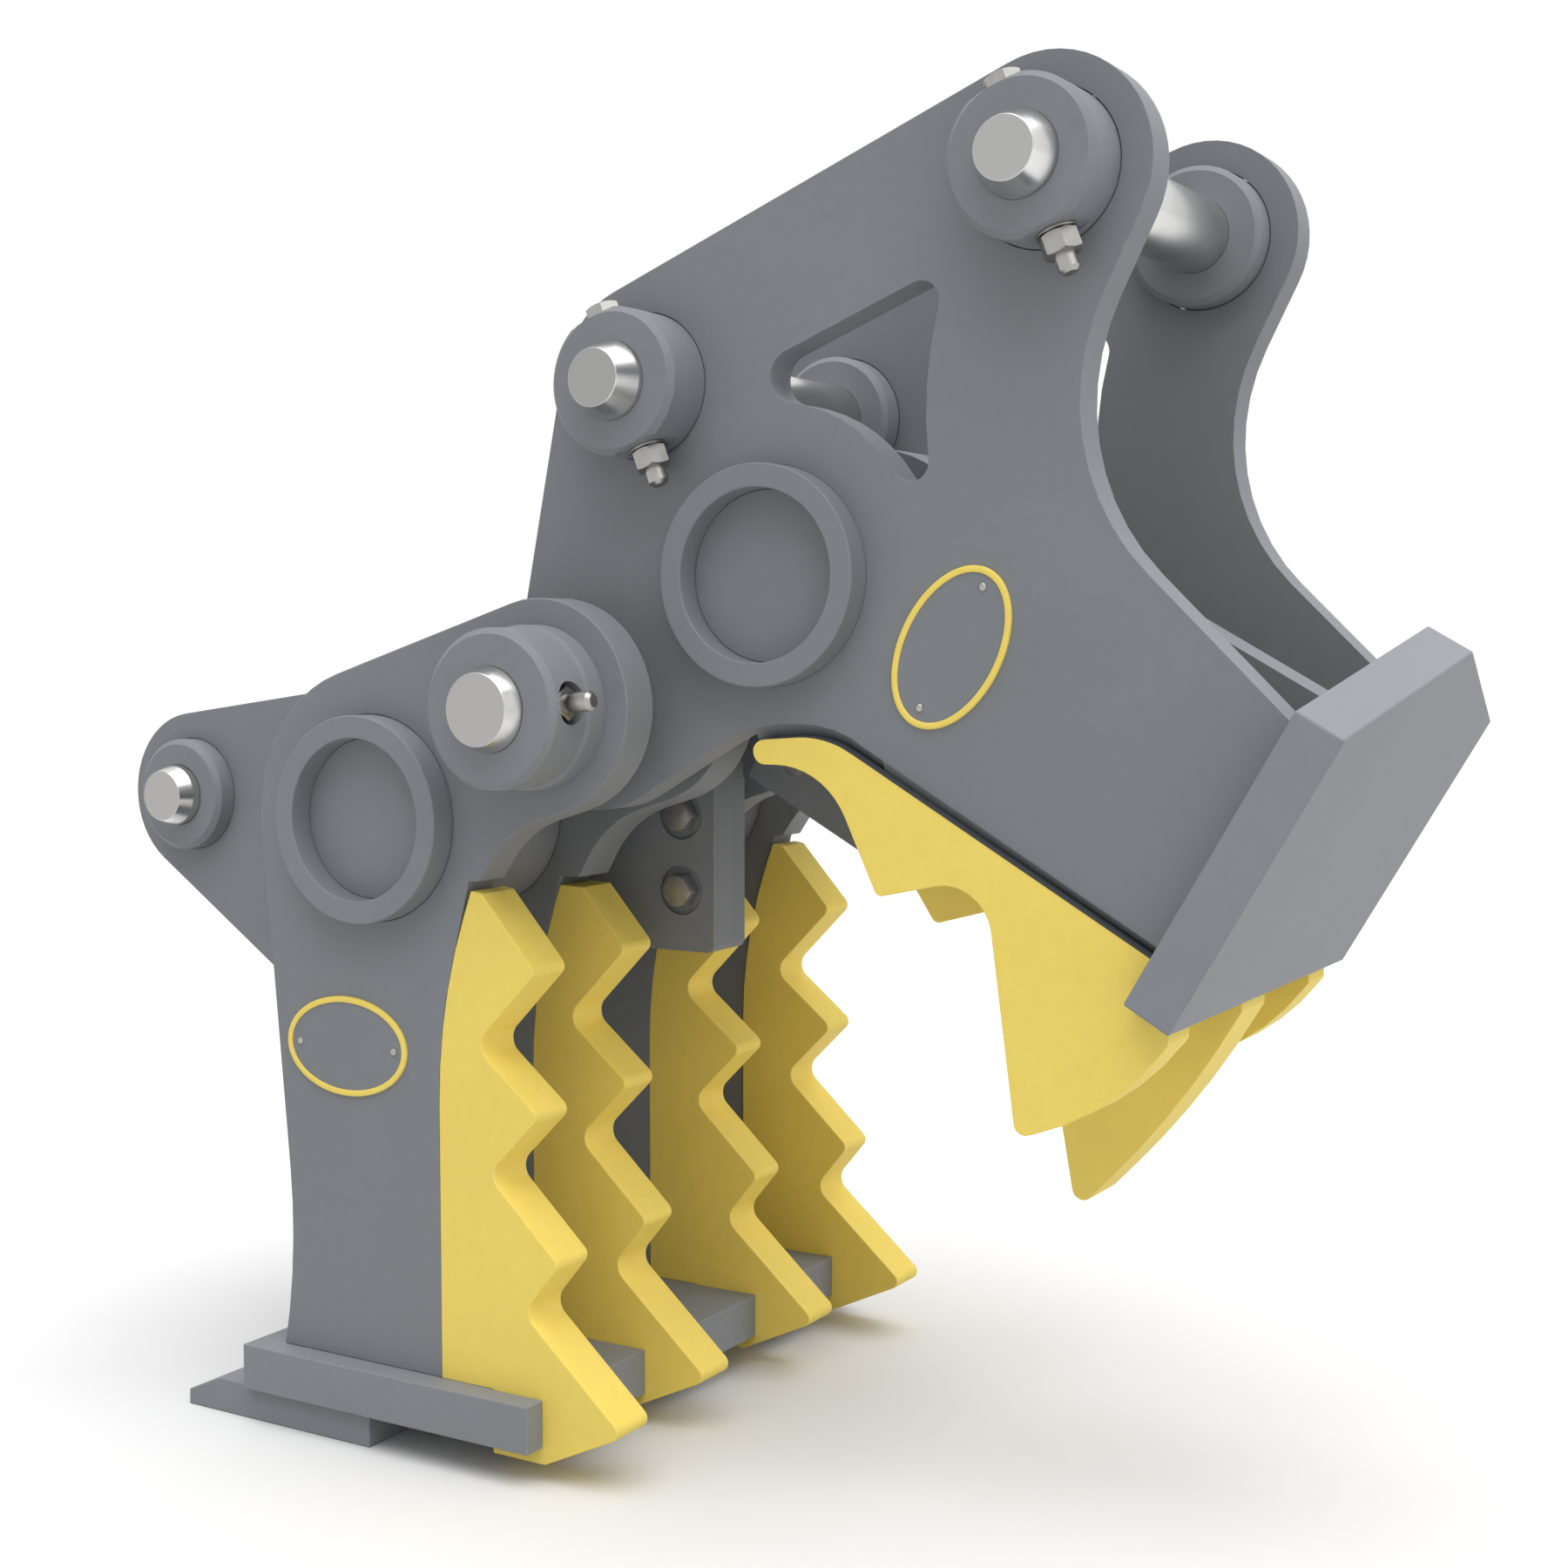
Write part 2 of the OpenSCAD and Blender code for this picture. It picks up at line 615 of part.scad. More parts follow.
module centre_plate() {
    color(paint) difference() {
        slab(-centre_plate_t / 2, centre_plate_t / 2) centre_plate_shape();
        across(upper_tube, tube_r + seat_gap, -centre_plate_t, centre_plate_t);
    }
}

// Five-sided block that stands across the nose, square to its slope
module nose_block() {
    face = [[-nose_y, 0], [nose_y, 0], [nose_y, nose_side_l], [0, nose_side_l + nose_point_l],
        [-nose_y, nose_side_l]];
    color(paint) place() translate([nose_corner[0], 0, nose_corner[1]]) rotate([0, -nose_a, 0])
        rotate([0, 0, -90]) rotate([0, 180, 0]) linear_extrude(nose_t) polygon(face);
}

module upper_tooth(side) {
    color(yellow) on_side(side) slab(upper_tooth_y0, upper_tooth_y1) upper_tooth_shape();
}

module upper_tooth_middle() {
    color(yellow) slab(-middle_tooth_t / 2, middle_tooth_t / 2) middle_tooth_shape();
}

module arm_boss(p, side) {
    flat = arm_boss_r - flat_depth;
    wide = 3 * washer_r;
    color(paint) on_side(side) difference() {
        turned(p, [[arm_pin_r + seat_gap, ear_gap / 2], [arm_boss_r - boss_chamfer, ear_gap / 2],
            [arm_boss_r, ear_gap / 2 + boss_chamfer], [arm_boss_r, arm_boss_y - boss_chamfer],
            [arm_boss_r - boss_chamfer, arm_boss_y], [arm_pin_r + seat_gap, arm_boss_y]]);
        cross_axis(p, arm_bolt_y, arm_bolt_a) {
            translate([0, 0, -arm_boss_r]) cylinder(r = pin_bolt_r + seat_gap, h = 2 * arm_boss_r, $fn = 48);
            translate([-wide / 2, -washer_r - 1, flat]) cube([wide, 2 * washer_r + 2, arm_boss_r]);
            translate([-wide / 2, -washer_r - 1, -flat - arm_boss_r]) cube([wide, 2 * washer_r + 2, arm_boss_r]);
        }
    }
}

module arm_pin(p) {
    color(bright) difference() {
        pin(p, arm_pin_r, arm_boss_y + arm_pin_stand, arm_chamfer_l, arm_chamfer_d);
        for (side = [left, right])
            cross_axis(p, side * arm_bolt_y, arm_bolt_a) translate([0, 0, -arm_boss_r])
                cylinder(r = pin_bolt_r + seat_gap, h = 2 * arm_boss_r, $fn = 48);
    }
}

// Each fastener of the arm pins in its place: children are drawn on the axis of the bolt
module at_arm_bolts() {
    for (p = [dipper, link], side = [left, right])
        cross_axis(p, side * arm_bolt_y, arm_bolt_a) children();
}

module arm_pin_bolts() {
    flat = arm_boss_r - flat_depth;
    color(zinc) at_arm_bolts() translate([0, 0, -flat])
        hex_bolt(pin_bolt_r, pin_nut_af, pin_head_h, 2 * flat + nut_end + pin_stud);
}

module arm_pin_nuts() {
    color(zinc) at_arm_bolts() translate([0, 0, arm_boss_r - flat_depth + washer_t])
        hex_nut(pin_bolt_r, pin_nut_af, pin_nut_h);
}

module arm_pin_washers() {
    color(zinc) at_arm_bolts() translate([0, 0, arm_boss_r - flat_depth]) difference() {
        cylinder(r = washer_r, h = washer_t, $fn = 48);
        translate([0, 0, -1]) cylinder(r = pin_bolt_r + seat_gap, h = washer_t + 2, $fn = 48);
    }
}

module pivot_hub(side) {
    y0 = inner_y1 + hub_side_gap;
    y1 = lower_y0 - hub_side_gap;
    color(paint) on_side(side) turned(pivot, [[hub_bore_r + seat_gap, y0], [hub_r, y0],
        [hub_r, y1], [hub_bore_r + seat_gap, y1]]);
}

module pivot_bush(side) {
    y0 = inner_y1 + hub_side_gap;
    y1 = lower_y0 - hub_side_gap;
    color(bronze) on_side(side) turned(pivot, [[bush_r, y0], [hub_bore_r, y0], [hub_bore_r, y1], [bush_r, y1]]);
}

module at_upper_cutter_bolts() {
    for (along = upper_cutter_bolts) {
        p = upper_cutter_at(along, upper_cutter_bolt_up);
        place() translate([p[0], upper_cutter_y, p[1]]) rotate([-90, 0, 0]) children();
    }
}

module cutter_bracket() {
    color(paint) difference() {
        slab(bracket_y, bracket_y + bracket_t) bracket_shape();
        across(upper_tube, tube_r + seat_gap, 0, base_y);
        at_upper_cutter_bolts() cylinder(r = cutter_bolt_r + seat_gap, h = base_y, $fn = 48);
    }
}

module upper_cutter() {
    corner = [upper_cutter_at(0, 0), upper_cutter_at(upper_cutter_l, 0),
        upper_cutter_at(upper_cutter_l, upper_cutter_w), upper_cutter_at(0, upper_cutter_w)];
    color(paint) difference() {
        slab(upper_cutter_y, bracket_y) polygon(corner);
        at_upper_cutter_bolts() {
            translate([0, 0, -1]) cylinder(r = cutter_bolt_r + seat_gap, h = base_y, $fn = 48);
            translate([0, 0, -1]) cylinder(r = cutter_head_r + seat_gap, h = cutter_head_h + 1, $fn = 48);
        }
    }
}

// Bolt along Z with a flat head, flush with the face at zero, and the length l over all
module flush_bolt(l) {
    cylinder(r = cutter_head_r, h = cutter_head_h, $fn = 48);
    cylinder(r = cutter_bolt_r, h = l - cutter_bolt_r / 3, $fn = 48);
    translate([0, 0, l - cutter_bolt_r / 3])
        cylinder(r1 = cutter_bolt_r, r2 = cutter_bolt_r * 0.65, h = cutter_bolt_r / 3, $fn = 48);
}

module upper_cutter_bolts_all() {
    color(zinc) at_upper_cutter_bolts() flush_bolt(cutter_t + bracket_t - 1);
}

// Lower jaw
module lower_side_plate(side) {
    color(paint) on_side(side) difference() {
        slab(lower_y0, lower_y1) lower_plate_shape();
        across(pivot, pivot_pin_r + seat_gap, 0, base_y);
        across(lower_tube, tube_r + seat_gap, 0, base_y);
    }
}

module lower_inner_plate(side) {
    color(paint) on_side(side) difference() {
        slab(inner_y0, inner_y1) inner_plate_shape();
        across(pivot, pivot_pin_r + seat_gap, 0, base_y);
        across(lower_tube, tube_r + seat_gap, 0, base_y);
        across(strut, strut_boss_r + seat_gap, 0, base_y);
    }
}

module lower_tooth(side, outer) {
    y0 = outer ? lower_tooth_y0 : inner_y0;
    y1 = outer ? lower_y1 : inner_y1;
    color(yellow) on_side(side) slab(y0, y1) saw_shape(outer ? saw_top : inner_saw_top,
        outer ? 0 : inner_setback);
}

// The slots for the teeth are open at the front
module base_plate() {
    color(paint) difference() {
        slab(-base_y, base_y) translate([base_rear_x, base_z - base_t])
            square([base_front_x - base_rear_x, base_t]);
        for (side = [left, right], outer = [true, false]) {
            y0 = (outer ? lower_tooth_y0 : inner_y0) - seat_gap;
            y1 = (outer ? lower_y1 : inner_y1) + seat_gap;
            rear = saw_foot[0] - seat_gap - (outer ? 0 : inner_setback);
            on_side(side) slab(y0, y1) translate([rear, base_z - 2 * base_t])
                square([base_front_x + base_t - rear, 3 * base_t]);
        }
    }
}

module heel_plate() {
    top = base_z - base_t;
    low = top - heel_t;
    y = base_y - heel_set_in;
    color(paint) slab(-y, y) polygon([[heel_x[0], low], [heel_x[1], low], [heel_x[1], top],
        [heel_x[0] + heel_bevel[0], top], [heel_x[0], top - heel_bevel[1]]]);
}

module pivot_boss(side) {
    wide_r = pivot_boss_r + pivot_collar_step;
    collar_y = lower_y1 + pivot_collar_l;
    color(paint) on_side(side) difference() {
        turned(pivot, [[pivot_pin_r + seat_gap, lower_y1], [wide_r, lower_y1], [wide_r, collar_y],
            [pivot_boss_r, collar_y + pivot_collar_step], [pivot_boss_r, pivot_boss_y - boss_chamfer],
            [pivot_boss_r - boss_chamfer, pivot_boss_y], [pivot_pin_r + seat_gap, pivot_boss_y]]);
        cross_axis(pivot, pivot_bolt_y, pivot_bolt_a) {
            translate([0, 0, -pivot_boss_r]) cylinder(r = pin_bolt_r + seat_gap, h = 2 * pivot_boss_r, $fn = 48);
            translate([0, 0, pivot_boss_r - boss_recess_d])
                cylinder(r = boss_recess_r, h = pivot_boss_r, $fn = 48);
            translate([0, 0, boss_recess_d - 2 * pivot_boss_r])
                cylinder(r = boss_recess_r, h = pivot_boss_r, $fn = 48);
        }
    }
}

module pivot_pin() {
    color(bright) difference() {
        pin(pivot, pivot_pin_r, pivot_boss_y + pivot_pin_stand, pin_chamfer_l, pin_chamfer_d);
        for (side = [left, right])
            cross_axis(pivot, side * pivot_bolt_y, pivot_bolt_a) translate([0, 0, -pivot_boss_r])
                cylinder(r = pin_bolt_r + seat_gap, h = 2 * pivot_boss_r, $fn = 48);
    }
}

module at_pivot_bolts() {
    for (side = [left, right])
        cross_axis(pivot, side * pivot_bolt_y, pivot_bolt_a) children();
}

module pivot_pin_bolts() {
    seat = pivot_boss_r - boss_recess_d;
    color(zinc) at_pivot_bolts() translate([0, 0, -seat])
        hex_bolt(pin_bolt_r, pin_nut_af, pin_head_h, 2 * seat + pin_nut_h + 2 * pin_stud);
}

module pivot_pin_nuts() {
    color(zinc) at_pivot_bolts() translate([0, 0, pivot_boss_r - boss_recess_d])
        hex_nut(pin_bolt_r, pin_nut_af, pin_nut_h);
}

module strut_boss(side) {
    bore = strut_pin_r + seat_gap;
    color(paint) on_side(side) turned(strut, [[bore, strut_gap / 2], [strut_boss_r, strut_gap / 2],
        [strut_boss_r, strut_boss_y - boss_chamfer], [strut_boss_r - boss_chamfer, strut_boss_y],
        [bore, strut_boss_y]]);
}

module strut_pin() {
    color(bright) pin(strut, strut_pin_r, strut_boss_y + strut_pin_stand, pin_chamfer_l, pin_chamfer_d);
}

module at_lower_cutter_bolts() {
    for (b = cutter_bolts)
        place() translate([cutter_corner[0] - b[0], shear_y, cutter_corner[1] - b[1]]) rotate([90, 0, 0]) children();
}

// The carrier is rebated for the cutter, whose bolts go through to recessed nuts
module cutter_carrier() {
    color(paint) difference() {
        slab(-shear_y, shear_y - cutter_proud) carrier_shape();
        across(lower_tube, tube_r + seat_gap, -carrier_t, carrier_t);
        slab(shear_y - cutter_t, carrier_t) lower_cutter_area(seat_gap);
        at_lower_cutter_bolts() cylinder(r = cutter_bolt_r + seat_gap, h = 2 * carrier_t, $fn = 48);
        at_lower_cutter_bolts() translate([0, 0, carrier_t - nut_recess_d])
            cylinder(r = nut_recess_r, h = carrier_t, $fn = 48);
    }
}

module lower_cutter() {
    color(paint) difference() {
        slab(shear_y - cutter_t, shear_y) intersection() {
            carrier_shape();
            lower_cutter_area(0);
        }
        at_lower_cutter_bolts() {
            translate([0, 0, -1]) cylinder(r = cutter_bolt_r + seat_gap, h = carrier_t, $fn = 48);
            translate([0, 0, -1]) cylinder(r = cutter_head_r + seat_gap, h = cutter_head_h + 1, $fn = 48);
        }
    }
}

module lower_cutter_bolts() {
    color(zinc) at_lower_cutter_bolts() flush_bolt(carrier_t - nut_recess_d + cutter_nut_bore - 1);
}

module lower_cutter_nuts() {
    color(zinc) at_lower_cutter_bolts() translate([0, 0, carrier_t - nut_recess_d]) difference() {
        hexagon(cutter_nut_af, cutter_nut_h);
        translate([0, 0, -1]) cylinder(r = cutter_bolt_r + seat_gap, h = cutter_nut_bore + 1, $fn = 48);
    }
}

upper_side_plate(left);  // upper_side_plate_left
upper_side_plate(right);  // upper_side_plate_right
torque_tube(upper_tube, upper_plate_y1 + tube_stand);  // upper_torque_tube
tube_cap(upper_tube, upper_plate_y1 + cap_stand, left);  // upper_tube_cap_left
tube_cap(upper_tube, upper_plate_y1 + cap_stand, right);  // upper_tube_cap_right
centre_plate();
nose_block();
upper_tooth(left);  // upper_tooth_left
upper_tooth_middle();
upper_tooth(right);  // upper_tooth_right
arm_boss(dipper, left);  // dipper_boss_left
arm_boss(dipper, right);  // dipper_boss_right
arm_boss(link, left);  // link_boss_left
arm_boss(link, right);  // link_boss_right
arm_pin(dipper);  // dipper_pin
arm_pin(link);  // link_pin
arm_pin_bolts();
arm_pin_nuts();
arm_pin_washers();
pivot_hub(left);  // pivot_hub_left
pivot_hub(right);  // pivot_hub_right
pivot_bush(left);  // pivot_bush_left
pivot_bush(right);  // pivot_bush_right
cutter_bracket();
upper_cutter();
upper_cutter_bolts_all();  // upper_cutter_bolts
lower_side_plate(left);  // lower_side_plate_left
lower_side_plate(right);  // lower_side_plate_right
lower_inner_plate(left);  // lower_inner_plate_left
lower_inner_plate(right);  // lower_inner_plate_right
torque_tube(lower_tube, lower_y1 + tube_stand);  // lower_torque_tube
tube_cap(lower_tube, lower_y1 + cap_stand, left);  // lower_tube_cap_left
tube_cap(lower_tube, lower_y1 + cap_stand, right);  // lower_tube_cap_right
base_plate();
heel_plate();
lower_tooth(right, true);  // lower_tooth_1
lower_tooth(right, false);  // lower_tooth_2
lower_tooth(left, false);  // lower_tooth_3
lower_tooth(left, true);  // lower_tooth_4
pivot_boss(left);  // pivot_boss_left
pivot_boss(right);  // pivot_boss_right
pivot_pin();
pivot_pin_bolts();
pivot_pin_nuts();
strut_boss(left);  // strut_boss_left
strut_boss(right);  // strut_boss_right
strut_pin();
cutter_carrier();
lower_cutter();
lower_cutter_bolts();
lower_cutter_nuts();
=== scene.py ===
import json
import math

import bmesh
import bpy
import numpy as np
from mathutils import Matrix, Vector

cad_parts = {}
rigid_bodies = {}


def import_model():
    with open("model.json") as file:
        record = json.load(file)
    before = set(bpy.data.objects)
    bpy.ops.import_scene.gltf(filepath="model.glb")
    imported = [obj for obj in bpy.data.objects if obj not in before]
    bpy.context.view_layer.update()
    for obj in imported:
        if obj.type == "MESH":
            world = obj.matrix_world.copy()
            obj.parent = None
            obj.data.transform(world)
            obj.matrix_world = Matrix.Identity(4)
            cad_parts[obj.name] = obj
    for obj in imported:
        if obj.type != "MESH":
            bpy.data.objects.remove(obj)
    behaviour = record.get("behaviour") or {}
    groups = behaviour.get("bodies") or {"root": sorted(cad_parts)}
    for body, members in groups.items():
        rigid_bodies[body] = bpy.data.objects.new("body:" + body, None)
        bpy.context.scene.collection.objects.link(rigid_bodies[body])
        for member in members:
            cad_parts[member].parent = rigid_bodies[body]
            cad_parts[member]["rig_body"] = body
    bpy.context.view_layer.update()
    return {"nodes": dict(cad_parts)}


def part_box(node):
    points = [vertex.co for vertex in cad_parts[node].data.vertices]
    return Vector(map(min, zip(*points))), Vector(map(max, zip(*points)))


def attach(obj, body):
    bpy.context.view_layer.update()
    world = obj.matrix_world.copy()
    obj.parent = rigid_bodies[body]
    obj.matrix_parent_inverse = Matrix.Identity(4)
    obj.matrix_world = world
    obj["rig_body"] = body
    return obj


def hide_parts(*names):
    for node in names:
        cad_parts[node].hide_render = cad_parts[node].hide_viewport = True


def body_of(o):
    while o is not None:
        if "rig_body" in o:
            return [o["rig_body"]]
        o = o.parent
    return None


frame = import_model()
scene = bpy.context.scene
print("parts loaded")


def middleOf(node):
    # Middle of a CAD part's box
    low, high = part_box(node)
    return (low + high) / 2


def sizeOf(node):
    # Its length, width and height
    low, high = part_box(node)
    return high - low


# Shader maths

class Wire:
    # A shader socket that takes part in sums like a number

    def __init__(self, tree, socket=None):
        self.tree = tree
        self.socket = socket

    def node(self, kind, inputs, output=0, **settings):
        # Adds a node: its settings first, then the values or links of its sockets
        made = self.tree.nodes.new("ShaderNode" + kind)
        for setting, value in settings.items():
            setattr(made, setting, value)
        for socket, value in inputs.items():
            if isinstance(value, Wire):
                self.tree.links.new(value.socket, made.inputs[socket])
            else:
                made.inputs[socket].default_value = value
        return Wire(self.tree, made.outputs[output])

    def sum(self, operation, first, second=0.0):
        return self.node("Math", {0: first, 1: second}, operation=operation)

    def __add__(self, other):
        return self.sum("ADD", self, other)

    def __radd__(self, other):
        return self.sum("ADD", other, self)

    def __sub__(self, other):
        return self.sum("SUBTRACT", self, other)

    def __rsub__(self, other):
        return self.sum("SUBTRACT", other, self)

    def __mul__(self, other):
        return self.sum("MULTIPLY", self, other)

    def __rmul__(self, other):
        return self.sum("MULTIPLY", other, self)

    def __pow__(self, other):
        return self.sum("POWER", self, other)

    def __abs__(self):
        return self.sum("ABSOLUTE", self)

    def part(self, output):
        return self.node("SeparateXYZ", {0: self}, output)

    def noise(self, scale, detail=3.0, rough=0.5):
        return self.node("TexNoise", {"Vector": self, "Scale": scale, "Detail": detail, "Roughness": rough})

    def rings(self, scale, detail=3.0):
        return self.node("TexNoise", {"W": self, "Scale": scale, "Detail": detail}, noise_dimensions="1D")

    def ramp(self, low, high, to=(0.0, 1.0)):
        values = {"Value": self, "From Min": low, "From Max": high, "To Min": to[0], "To Max": to[1]}
        return self.node("MapRange", values, interpolation_type="SMOOTHSTEP")

    def stretch(self, to=(0.0, 1.0)):
        # Carries the usual range of a noise to a range of its own
        return self.ramp(0.3, 0.7, to)

    def blend(self, first, second):
        # Mixes two colours, with this socket as the share of the second
        return self.node("Mix", {0: self, 6: first, 7: second}, 2, data_type="RGBA")

    def bump(self, strength, distance):
        return self.node("Bump", {"Height": self, "Strength": strength, "Distance": distance})


def newMaterial(name, surface, **fixed):
    # The constants go on the shader's own sockets and surface() gives the varied ones as wires
    material = bpy.data.materials.new(name)
    material.use_nodes = True
    tree = material.node_tree
    shader = tree.nodes["Principled BSDF"]
    for socket, value in fixed.items():
        shader.inputs[socket.replace("_", " ")].default_value = value
    where = Wire(tree).node("TexCoord", {}, "Object")
    for socket, wire in surface(where).items():
        tree.links.new(wire.socket, shader.inputs[socket])
    return material


def shade(colour, light=1.0):
    # A colour made lighter or darker, with its alpha
    return (colour[0] * light, colour[1] * light, colour[2] * light, 1.0)


def edgeMask(where, radius):
    # One on the ridges of a shape and zero on its flats: one less the dot product of the plain normal and
    # the normal that is rounded off near an edge
    smooth = where.node("Bevel", {"Radius": radius}, samples=4)
    plain = where.node("NewGeometry", {}, "Normal")
    facing = where.node("VectorMath", {0: smooth, 1: plain}, 1, operation="DOT_PRODUCT")
    return (1.0 - facing).ramp(0.01, 0.16)


# Finishes. The first values of each are scales, about the number of grains of a pattern in a metre.
spray = {
    "cloud": 5.0, "grain": 70.0, "rub": 38.0, "peel": 420.0,  # mottling, grain, rubbed spots, orange peel
    "cloudShare": 0.6, "peelShare": 0.7, "tint": (0.97, 1.03),  # beside the grain, and the mottling's shades
    "edge": 0.004, "spots": (0.52, 0.72),  # reach of the rubbed edges, and where a spot begins and is full
    "wear": 0.55, "glossier": 0.1,  # how far a spot goes to the worn colour, and its loss of roughness
    "rough": (0.54, 0.60), "depth": 0.0002,
}
turning = {
    "ring": 900.0, "smear": 24.0,
    "marks": (0.2, 0.8), "smeared": (0.3, 0.75), "dark": 0.9,  # ranges of both noises, and a smear's shade
    "face": (0.0007, 0.0002),  # the faced end begins and is full this far from the bar's end
    "spread": 0.03, "duller": 0.12,  # more roughness, from ring to ring and on the faced ends
    "strength": 0.02, "depth": 0.0002,
}
plating = {"cloud": 90.0, "grain": 800.0, "tint": (0.93, 1.05), "spread": 0.12, "strength": 0.06,
           "depth": 0.0002}


def paint(name, colour, worn, peel=0.05):
    # Sprayed satin paint: soft mottling, orange peel, and fine rubbed edges
    def surface(where):
        cloud = where.noise(spray["cloud"], 4.0)
        grain = where.noise(spray["grain"])
        mottling = cloud * spray["cloudShare"] + grain * (1 - spray["cloudShare"])
        wear = edgeMask(where, spray["edge"]) * where.noise(spray["rub"], 5.0, 0.62).ramp(*spray["spots"])
        even = mottling.stretch().blend(*(shade(colour, light) for light in spray["tint"]))
        texture = where.noise(spray["peel"], 2.0) * spray["peelShare"] + grain * (1 - spray["peelShare"])
        return {
            "Base Color": (wear * spray["wear"]).blend(even, shade(worn)),
            "Roughness": grain.stretch(spray["rough"]) - wear * spray["glossier"],
            "Normal": texture.bump(peel, spray["depth"]),
        }

    return newMaterial(name, surface, IOR=1.45, Specular_IOR_Level=0.25)


def turnedSteel(name, node, colour, faced, rough=0.24):
    # Turned bar: ring marks by the distance from the node's axis, which lies across the jaws, plus the
    # distance along it, and duller faced ends
    centre, half = middleOf(node), sizeOf(node).y / 2

    def surface(where):
        across = where.part(0) - centre.x
        up = where.part(2) - centre.z
        radius = (across * across + up * up) ** 0.5
        distance = abs(where.part(1))
        marks = (radius + distance).rings(turning["ring"])
        uneven = marks.ramp(*turning["marks"], (rough - turning["spread"], rough + turning["spread"]))
        end = distance.ramp(half - turning["face"][0], half - turning["face"][1])
        smear = where.noise(turning["smear"], 4.0).ramp(*turning["smeared"])
        bar = smear.blend(shade(colour), shade(colour, turning["dark"]))
        return {
            "Base Color": end.blend(bar, shade(faced)),
            "Roughness": uneven + end * turning["duller"],
            "Normal": marks.bump(turning["strength"], turning["depth"]),
        }

    return newMaterial(name, surface, Metallic=1.0)


def plated(name, colour, rough, metallic=1.0):
    # Zinc plating with a cloudy sheen
    def surface(where):
        cloud = where.noise(plating["cloud"], 4.0)
        return {
            "Base Color": cloud.stretch().blend(*(shade(colour, light) for light in plating["tint"])),
            "Roughness": cloud.stretch((rough, rough + plating["spread"])),
            "Normal": where.noise(plating["grain"], 2.0).bump(plating["strength"], plating["depth"]),
        }

    return newMaterial(name, surface, Metallic=metallic)


greyPaint = paint("grey_paint", (0.225, 0.237, 0.256), (0.36, 0.37, 0.38))
# A lighter copy of the grey paint: painted light that makes the nose block, base plate and heel plate
# brighter than the other plates
litGreyPaint = paint("grey_paint_painted_light", (0.252, 0.265, 0.287), (0.38, 0.39, 0.4))
yellowPaint = paint("yellow_paint", (0.93, 0.72, 0.155), (0.97, 0.84, 0.42), 0.08)
cutterPaint = paint("cutter_paint", (0.215, 0.227, 0.246), (0.36, 0.37, 0.38))
# Near-black paint for the ledge bead: painted shade, darker than lit paint, standing for the shade in the
# groove between plate and tooth
seamShadePaint = paint("seam_painted_shade", (0.05, 0.053, 0.058), (0.1, 0.1, 0.105))
zinc = plated("zinc_plate", (0.385, 0.373, 0.355), 0.28)
dullZinc = plated("zinc_plate_dull", (0.37, 0.37, 0.36), 0.30, 0.7)
brightBar = (0.72, 0.715, 0.71)
facedBar = (0.39, 0.385, 0.38)
dipperSteel = turnedSteel("dipper_pin_steel", "dipper_pin", brightBar, (0.345, 0.343, 0.34))
linkSteel = turnedSteel("link_pin_steel", "link_pin", brightBar, (0.42, 0.42, 0.415))
pivotSteel = turnedSteel("pivot_pin_steel", "pivot_pin", brightBar, facedBar)
strutSteel = turnedSteel("strut_pin_steel", "strut_pin", brightBar, facedBar)
bronze = turnedSteel("bush_bronze_turned", "pivot_bush_left", (0.62, 0.43, 0.2), (0.6, 0.42, 0.2), 0.32)
print("materials made")


# Pieces

def place(piece, body, material, stoodFor=()):
    # Gives a piece its material and body, and hides the CAD parts that it stands for
    piece.data.materials.clear()
    piece.data.materials.append(material)
    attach(piece, body)
    if stoodFor:
        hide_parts(*stoodFor)


def bodyOf(node):
    return body_of(frame["nodes"][node])[0]


def meshPiece(name, points, faces, smoothUnder=0):
    # A smooth mesh, with sharp edges where its faces meet at more than smoothUnder degrees
    mesh = bpy.data.meshes.new(name)
    mesh.from_pydata(points, [], faces)
    mesh.polygons.foreach_set("use_smooth", [True] * len(mesh.polygons))
    if smoothUnder:
        mesh.set_sharp_from_angle(angle=math.radians(smoothUnder))
    piece = bpy.data.objects.new(name, mesh)
    scene.collection.objects.link(piece)
    return piece


def surfacePiece(name, surfaces, smoothUnder=0):
    # One mesh of several surfaces, each an array of points and one of faces
    starts = np.cumsum([0] + [len(made) for made, quads in surfaces])
    points = np.concatenate([made for made, quads in surfaces])
    faces = np.concatenate([quads + start for start, (made, quads) in zip(starts, surfaces)])
    return meshPiece(name, points.tolist(), faces.tolist(), smoothUnder)


softening = {
    "merge": 1e-5, "flat": math.radians(0.4),  # how near points become one, and how flat a joined face is
    "corner": math.radians(28), "segments": 3,  # which edges are rounded, and in how many steps
}


def pointsOf(work, change=None):
    # The points of a mesh as one array, passed through a function of their x, y and z
    points = np.array([vertex.co for vertex in work.verts], float)
    return np.stack(change(*points.T), -1) if change else points


